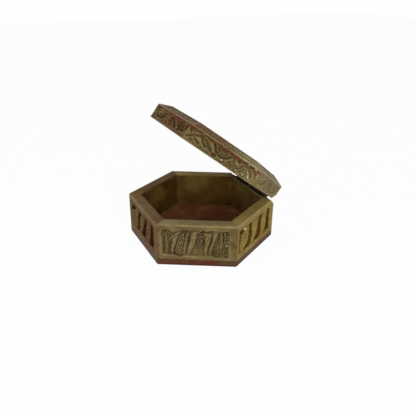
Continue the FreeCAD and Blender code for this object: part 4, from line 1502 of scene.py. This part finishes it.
    def profile(self) -> tuple[Grid, Grid, Grid]:
        """The lid's section, from its underside up its side and over its bevel.

        Returns:
            The depth and the height of each row of points, and its part: 0 under, 1 side, 1.5 ridge,
            2 bevel and 3 top.
        """
        sizes = self.measures
        arc = np.linspace(0, math.pi / 2, 4)[1:-1]
        under = np.linspace(self.under, self.edge_round, self.under_rows)
        under = self.with_steps(under, [self.groove, sizes.leaf_depth + self.leaf_play])[::-1]
        low_arc = self.edge_round * (1 - np.sin(arc))
        turn = self.ridge_round * 0.5
        face = np.linspace(self.edge_round, self.rim_tall - turn, self.side_rows)
        lean = math.atan2(self.bevel_rise, self.bevel_inset)
        ridge = np.linspace(0, math.pi / 2 - lean, 4)[1:-1]
        over = turn * (1 - np.cos(ridge)) * 1.2
        run = np.linspace(turn, self.bevel_inset, self.bevel_rows)
        depth = np.concatenate([under, low_arc, 0 * face, over, run, [self.bevel_inset + 0.5]])
        height = np.concatenate([
            0 * under,
            self.edge_round * (1 - np.cos(arc)),
            face,
            self.rim_tall - turn + turn * np.sin(ridge),
            self.rim_tall + self.bevel_rise * run / self.bevel_inset,
            [self.rim_tall + self.bevel_rise],
        ])
        part = np.concatenate([0 * under, 0 * low_arc, 0 * face + 1, 0 * ridge + 1.5, 0 * run + 2, [3.0]])
        return depth, height, part

    def side_points(self, side: int, x: Grid) -> tuple[Grid, Grid]:
        """Points and cuts of one side, in the shut lid's own coordinates.

        Args:
            side: The side's number, from the front one round to the right.
            x: Places along the side from its middle.

        Returns:
            The points, and how deep each is cut.
        """
        depth, height, part = (row[:, None] for row in self.profile())
        groove_out = self.groove_cut(x, 0 * x, side)
        on_side = part == 1
        squeezed = groove_out + height * (self.rim_tall - groove_out) / self.rim_tall
        w = np.where(on_side, squeezed, height + 0 * x)
        w = np.where(part < 1, height + self.groove_cut(x, depth, side), w)
        if side == HINGE_SIDE:
            bedded = self.in_leaf_bed(x, depth) & (part < 1)
            w = np.where(bedded, np.maximum(w, self.leaf_thick), w)
        foot = rise(0.0, 0.3, w - groove_out - self.edge_round)
        cut = np.where(on_side, self.band(x, w, side) * foot, 0.0)
        sunk = np.where(part == 2, self.scrolls(x, depth, side), 0.0)
        total = depth + cut + self.corner_drop(x) * (depth < 3.0) * (part > 0.5)
        return self.placed(side, x, total, w - sunk), cut + sunk

    def build(self) -> bpy.types.Object:
        """Makes the lid's mesh, tilted open on its hinge, and dresses it.

        Returns:
            The lid as an object.
        """
        plain = self.columns()[None, :-1]
        parts, cuts, alongs, numbers = [], [], [], []
        for side in range(SIDES):
            x = plain
            if side == HINGE_SIDE:
                x = self.with_steps(plain[0], self.leaf_columns())[None, :]
            points, cut = self.side_points(side, x)
            parts.append(points)
            cuts.append(cut)
            alongs.append(x + 0 * cut)
            numbers.append(np.full(cut.shape, side))
        every = (parts, cuts, alongs, numbers)
        shut, cut, along, number = (np.concatenate(grids, axis=1) for grids in every)
        depth, _, part = (row[:, None] for row in self.profile())
        marks = self.marks(cut, shut[..., 2], along, number, depth, part)
        piece = grid_mesh("lid_slab_carved", self.tilt_open(shut), True, marks)
        piece.data.materials.append(self.finish.value.material())
        return piece

    def marks(self, cut: Grid, w: Grid, along: Grid, side: Grid, depth: Grid, part: Grid) -> dict[str, Grid]:
        """What the lid's finish needs to know of each point.

        Args:
            cut: How deep the carving goes.
            w: Heights above the lid's underside.
            along: Places along each side.
            side: The number of the side that each point belongs to.
            depth: How far in from the sides' faces.
            part: Which part of the section each row is.

        Returns:
            How dark with dirt and painted shade, how pale with wear and painted light, and how oiled, red and
            glinting the lid is.
        """
        near = blur(cut, self.near_cells)
        on_side = part < 1.6
        vein = self.vein(along, w)
        # dirt and painted shade in the hollows, most on the front and on the sides whose vine has its crest
        # in the middle
        oiled = 1.0 + 0.60 * (side % 2 == 0) + 0.35 * (side == 0) + 0.25 * (side == 1)
        dirt_and_shade = self.band_dirt_shade * slope(cut, 0.40, 0.8) * on_side
        dirt_and_shade = dirt_and_shade + self.step_dirt_shade * np.clip(cut - near, 0, 1)
        dirt_and_shade = dirt_and_shade * oiled + self.scroll_dirt_shade * slope(cut, 0.14, 0.32) * ~on_side
        dirt_and_shade = dirt_and_shade + (side == 1) * on_side * vein * (0.36 - 0.28 * rise(0.0, 6.0, along))
        # wear and painted highlight on what stands up and along the ridge, and the lid made paler on its
        # right
        wear_and_light = np.clip((near - cut) * self.edge_wear_light - 0.05, 0, 0.9) * (1.0 - 0.6 * (side == 1) * vein)
        ridge = hump(w - self.rim_tall, -0.1, 0.35) * (depth < 1.0)
        # a painted highlight along the right part of the front's ridge
        ridge = ridge + (side == 1) * 0.7 * hump(w - self.rim_tall, -0.35, 0.5) * rise(2.0, 8.0, along)
        wear_and_light = wear_and_light + self.ridge_wear_light * ridge + self.paled(along, depth, side) * (part > 0.5)
        return {
            "dirt_and_shade": np.clip(dirt_and_shade, 0, 1),
            "wear_and_light": np.clip(wear_and_light, 0, 1),
            "inside": 0 * cut + self.oiled_under * ((part < 1) & (depth > self.edge_round)),
            "blush": self.blush(along, w, depth, side),
            "glint": self.glint(along, w, side) * (depth < 0.5),
        }

    def paled(self, along: Grid, depth: Grid, side: Grid) -> Grid:
        """How much paler the lid is made, towards the right of the front and beyond it.

        Args:
            along: Places along each side.
            depth: How far in from the sides' faces.
            side: The number of the side that each point belongs to.

        Returns:
            How pale each point is rubbed.
        """
        front = self.front_pale * (side == 1) * rise(2.0, 18.0, along)
        right = self.right_pale * (side == 2) * (depth < 0.8)
        share = (side == 1) * (0.15 + self.bevel_pale * rise(4.0, 20.0, along))
        share = share + self.bevel_pale * (side == 2)
        return front + right + (depth > 0.8) * (depth < 7.5) * share

    def blush(self, along: Grid, w: Grid, depth: Grid, side: Grid) -> Grid:
        """How red the stone runs at each place of the lid.

        Args:
            along: Places along each side.
            w: Heights above the lid's underside.
            depth: How far in from the sides' faces.
            side: The number of the side that each point belongs to.

        Returns:
            The share of red at each point.
        """
        high = w / self.rim_tall
        vein = self.vein(along, w)
        share = self.vein_red - 0.25 * hump(along, -14.0, 4.0) + 0.28 * rise(-1.0, 4.0, along)
        front = (side == 1) * (vein * share + self.spot_red * spot(along, w, (-4.3, 2.4), (1.0, 0.9)))
        left = self.high_left_red * rise(0.50, 0.80, high) + self.right_left_red * rise(-18.0, 0.0, along)
        left = (side == 0) * left
        other = (side > 1) * self.other_red * vein
        patches = self.bevel_red + self.bevel_red_waves * np.sin(along * 0.33 + 1.3 * side)
        patches = patches + self.bevel_red_patch * (side == 0)
        patches = patches + self.bevel_red_patch * (side == 1) * rise(2.0, -6.0, along)
        bevel = (depth > 0.8) * patches * (high > 0.9)
        return np.clip((front + left + other) * (depth < 0.8) + bevel, 0, 1)

    def vein(self, along: Grid, w: Grid) -> Grid:
        """The band of red that wanders along the upper part of the sides.

        Args:
            along: Places along each side.
            w: Heights above the lid's underside.

        Returns:
            The strength of the band at each point, from 0 to 1.
        """
        waves = 0.15 * np.sin(along * 0.9) + 0.12 * np.sin(along * 0.37 + 1.0)
        middle = self.vein_up + waves - 0.4 * rise(-8.0, 0.0, along) - 0.5 * rise(6.0, 18.0, along)
        return hump(w, middle, self.vein_wide - 0.40 * rise(4.0, 18.0, along))

    def glint(self, along: Grid, w: Grid, side: Grid) -> Grid:
        """Where a glint is painted on the side that faces the camera, which also gets a glossy coat there."""
        return strokes_on(along, w, self.painted_glint) * (side == 1)

    def tilt_open(self, shut: Grid) -> Grid:
        """Points of the shut lid, moved to where they lie when it stands open.

        Args:
            shut: The points, with across, back and up in the last direction.

        Returns:
            The moved points.
        """
        sizes = self.measures
        y = shut[..., 1] - sizes.axis_back
        z = shut[..., 2] + self.seat_gap / 2
        cos, sin = math.cos(sizes.tilt), math.sin(sizes.tilt)
        return np.stack([
            shut[..., 0],
            sizes.axis_back + y * cos + z * sin,
            sizes.axis_up - y * sin + z * cos,
        ], axis=-1)


@dataclass
class Hinges:
    """The brass pieces, which keep the frame's own shapes."""

    finish: Finish = Finish.BRASS

    def dress(self) -> list[str]:
        """Gives every brass node its finish.

        Returns:
            The names of the brass nodes.
        """
        material = self.finish.value.material()
        names = [name for name in frame["nodes"] if "hinge" in name]
        for name in names:
            slots = frame["nodes"][name].data.materials
            slots.clear()
            slots.append(material)
        return names


@dataclass
class Studio:
    """A white table and backdrop, soft lamps, and the camera."""

    focal_pixels: float = 480.26
    frame_pixels: float = 416.0
    place_sides: Triple = (0.356, -5.961, 3.368)
    azimuth: float = 2.488
    elevation: float = 26.528
    roll: float = 0.646
    turn: float = 60.0
    sensor: float = 36.0
    near_clip: float = 0.01
    floor_wide: float = 3.0
    floor_grey: float = 205.0  # what the floor's shadow is cast on
    floor_white: float = 0.97  # how far the camera sees plain white in place of it
    dim_world: float = 0.2  # the world's light on the box, as a share of what the camera sees
    aim: Triple = (0.0, 0.0, 0.03)
    # where each lamp hangs, how wide it is, and its watts
    lamps: tuple[tuple[Triple, float, float], ...] = (
        ((0.72, -0.12, 0.26), 0.24, 3.4),
        ((0.10, -0.72, 0.24), 0.50, 1.9),
        ((-0.50, 0.30, 0.55), 0.70, 0.6),
        ((0.16, -0.06, 0.90), 0.60, 1.9),
        ((0.14, 0.72, 0.17), 0.12, 0.5),
    )

    def camera(self) -> None:
        """Places the camera where the calibration of the photograph puts it."""
        side = 2 * Measures.read().half_side * MM
        az, el, roll = (math.radians(v) for v in (self.azimuth, self.elevation, self.roll))
        back = Vector((math.sin(az) * math.cos(el), -math.cos(az) * math.cos(el), math.sin(el)))
        right = Vector((math.cos(az), math.sin(az), 0))
        up = back.cross(right)
        cos, sin = math.cos(roll), math.sin(roll)
        right, up = right * cos + up * sin, up * cos - right * sin
        pose = Matrix((right, up, back)).transposed().to_4x4()
        pose.translation = Vector(self.place_sides) * side
        data = bpy.data.cameras.new("camera")
        data.sensor_width = self.sensor
        data.lens = self.focal_pixels / self.frame_pixels * self.sensor
        data.clip_start = self.near_clip
        seen = bpy.data.objects.new("camera", data)
        seen.matrix_world = Matrix.Rotation(math.radians(self.turn), 4, "Z") @ pose
        bpy.context.scene.collection.objects.link(seen)
        bpy.context.scene.camera = seen

    def lights(self) -> None:
        """Hangs the soft lamps, each aimed at the box."""
        for number, (place, wide, watts) in enumerate(self.lamps):
            data = bpy.data.lights.new(f"lamp_{number}", "AREA")
            data.shape = "DISK"
            data.size = wide
            data.energy = watts
            lamp = bpy.data.objects.new(f"lamp_{number}", data)
            lamp.location = place
            aimed = Vector(self.aim) - Vector(place)
            lamp.rotation_euler = aimed.to_track_quat("-Z", "Y").to_euler()
            bpy.context.scene.collection.objects.link(lamp)

    def backdrop(self) -> None:
        """A white floor that keeps the shadow, and a white world."""
        half = self.floor_wide / 2
        mesh = bpy.data.meshes.new("floor")
        corners = [(-half, -half, 0), (half, -half, 0), (half, half, 0), (-half, half, 0)]
        mesh.from_pydata(corners, [], [(0, 1, 2, 3)])
        floor = bpy.data.objects.new("floor", mesh)
        bpy.context.scene.collection.objects.link(floor)
        shade = Shade("white_floor")
        diffuse = shade.node("BsdfDiffuse", None, {"Color": srgb(*(self.floor_grey,) * 3)})
        white = shade.node("Emission", None, {"Color": (1.0, 1.0, 1.0, 1.0), "Strength": 1.0})
        seen = shade.background_seen() * self.floor_white
        mixed = shade.node("MixShader", None, {0: seen, 1: diffuse, 2: white})
        shade.node("OutputMaterial", None, {0: mixed})
        mesh.materials.append(shade.material)
        sky = Shade("studio_white", world=True)
        strength = self.dim_world + (1.0 - self.dim_world) * sky.background_seen()
        glow = sky.node("Background", None, {"Color": (1.0, 1.0, 1.0, 1.0), "Strength": strength})
        sky.node("OutputWorld", None, {0: glow})
        bpy.context.scene.world = sky.material
        bpy.context.scene.view_settings.view_transform = "Standard"


@dataclass
class CarvedBox:
    """The whole box: floor slab, six walls, lid and hinges."""

    measures: Measures
    walls: tuple[tuple[str, Figures, Finish], ...] = (
        ("wall_front", Figures.LEAVES, Finish.RED_OLIVE),
        ("wall_front_right", Figures.ELEPHANTS, Finish.FRONT_OLIVE),
        ("wall_back_right", Figures.LEAVES, Finish.YELLOW_OLIVE),
        ("wall_back", Figures.ELEPHANTS, Finish.FRONT_OLIVE),
        ("wall_back_left", Figures.LEAVES, Finish.YELLOW_OLIVE),
        ("wall_front_left", Figures.ELEPHANTS, Finish.RED_OLIVE),
    )

    def keep(self, piece: bpy.types.Object, node: str, body: str) -> None:
        """Lets a piece ride on its body in place of its node.

        Args:
            piece: The dressed piece.
            node: The node of the frame that it stands in for.
            body: The body that it moves with.
        """
        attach(piece, body)
        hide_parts(node)
        log.info("%s stands for %s with %d faces", piece.name, node, len(piece.data.polygons))

    def build(self) -> None:
        """Makes every piece in the order of putting the box together."""
        self.keep(BaseSlab(self.measures).build(), "base_slab", "box")
        for side, (name, figures, finish) in enumerate(self.walls):
            wall = Wall(self.measures, name=name, side=side, figures=figures, finish=finish)
            self.keep(wall.build(), name, "box")
        self.keep(LidSlab(self.measures).build(), "lid_slab", "lid")
        for name in Hinges().dress():
            log.info("%s keeps its shape and takes the brass finish", name)


def main() -> None:
    """Builds the studio and the box, and logs how many faces each carved piece has."""
    logging.basicConfig(level=logging.INFO, format="%(name)s: %(message)s")
    studio = Studio()
    studio.camera()
    studio.lights()
    studio.backdrop()
    CarvedBox(Measures.read()).build()


if __name__ == "__main__":
    main()
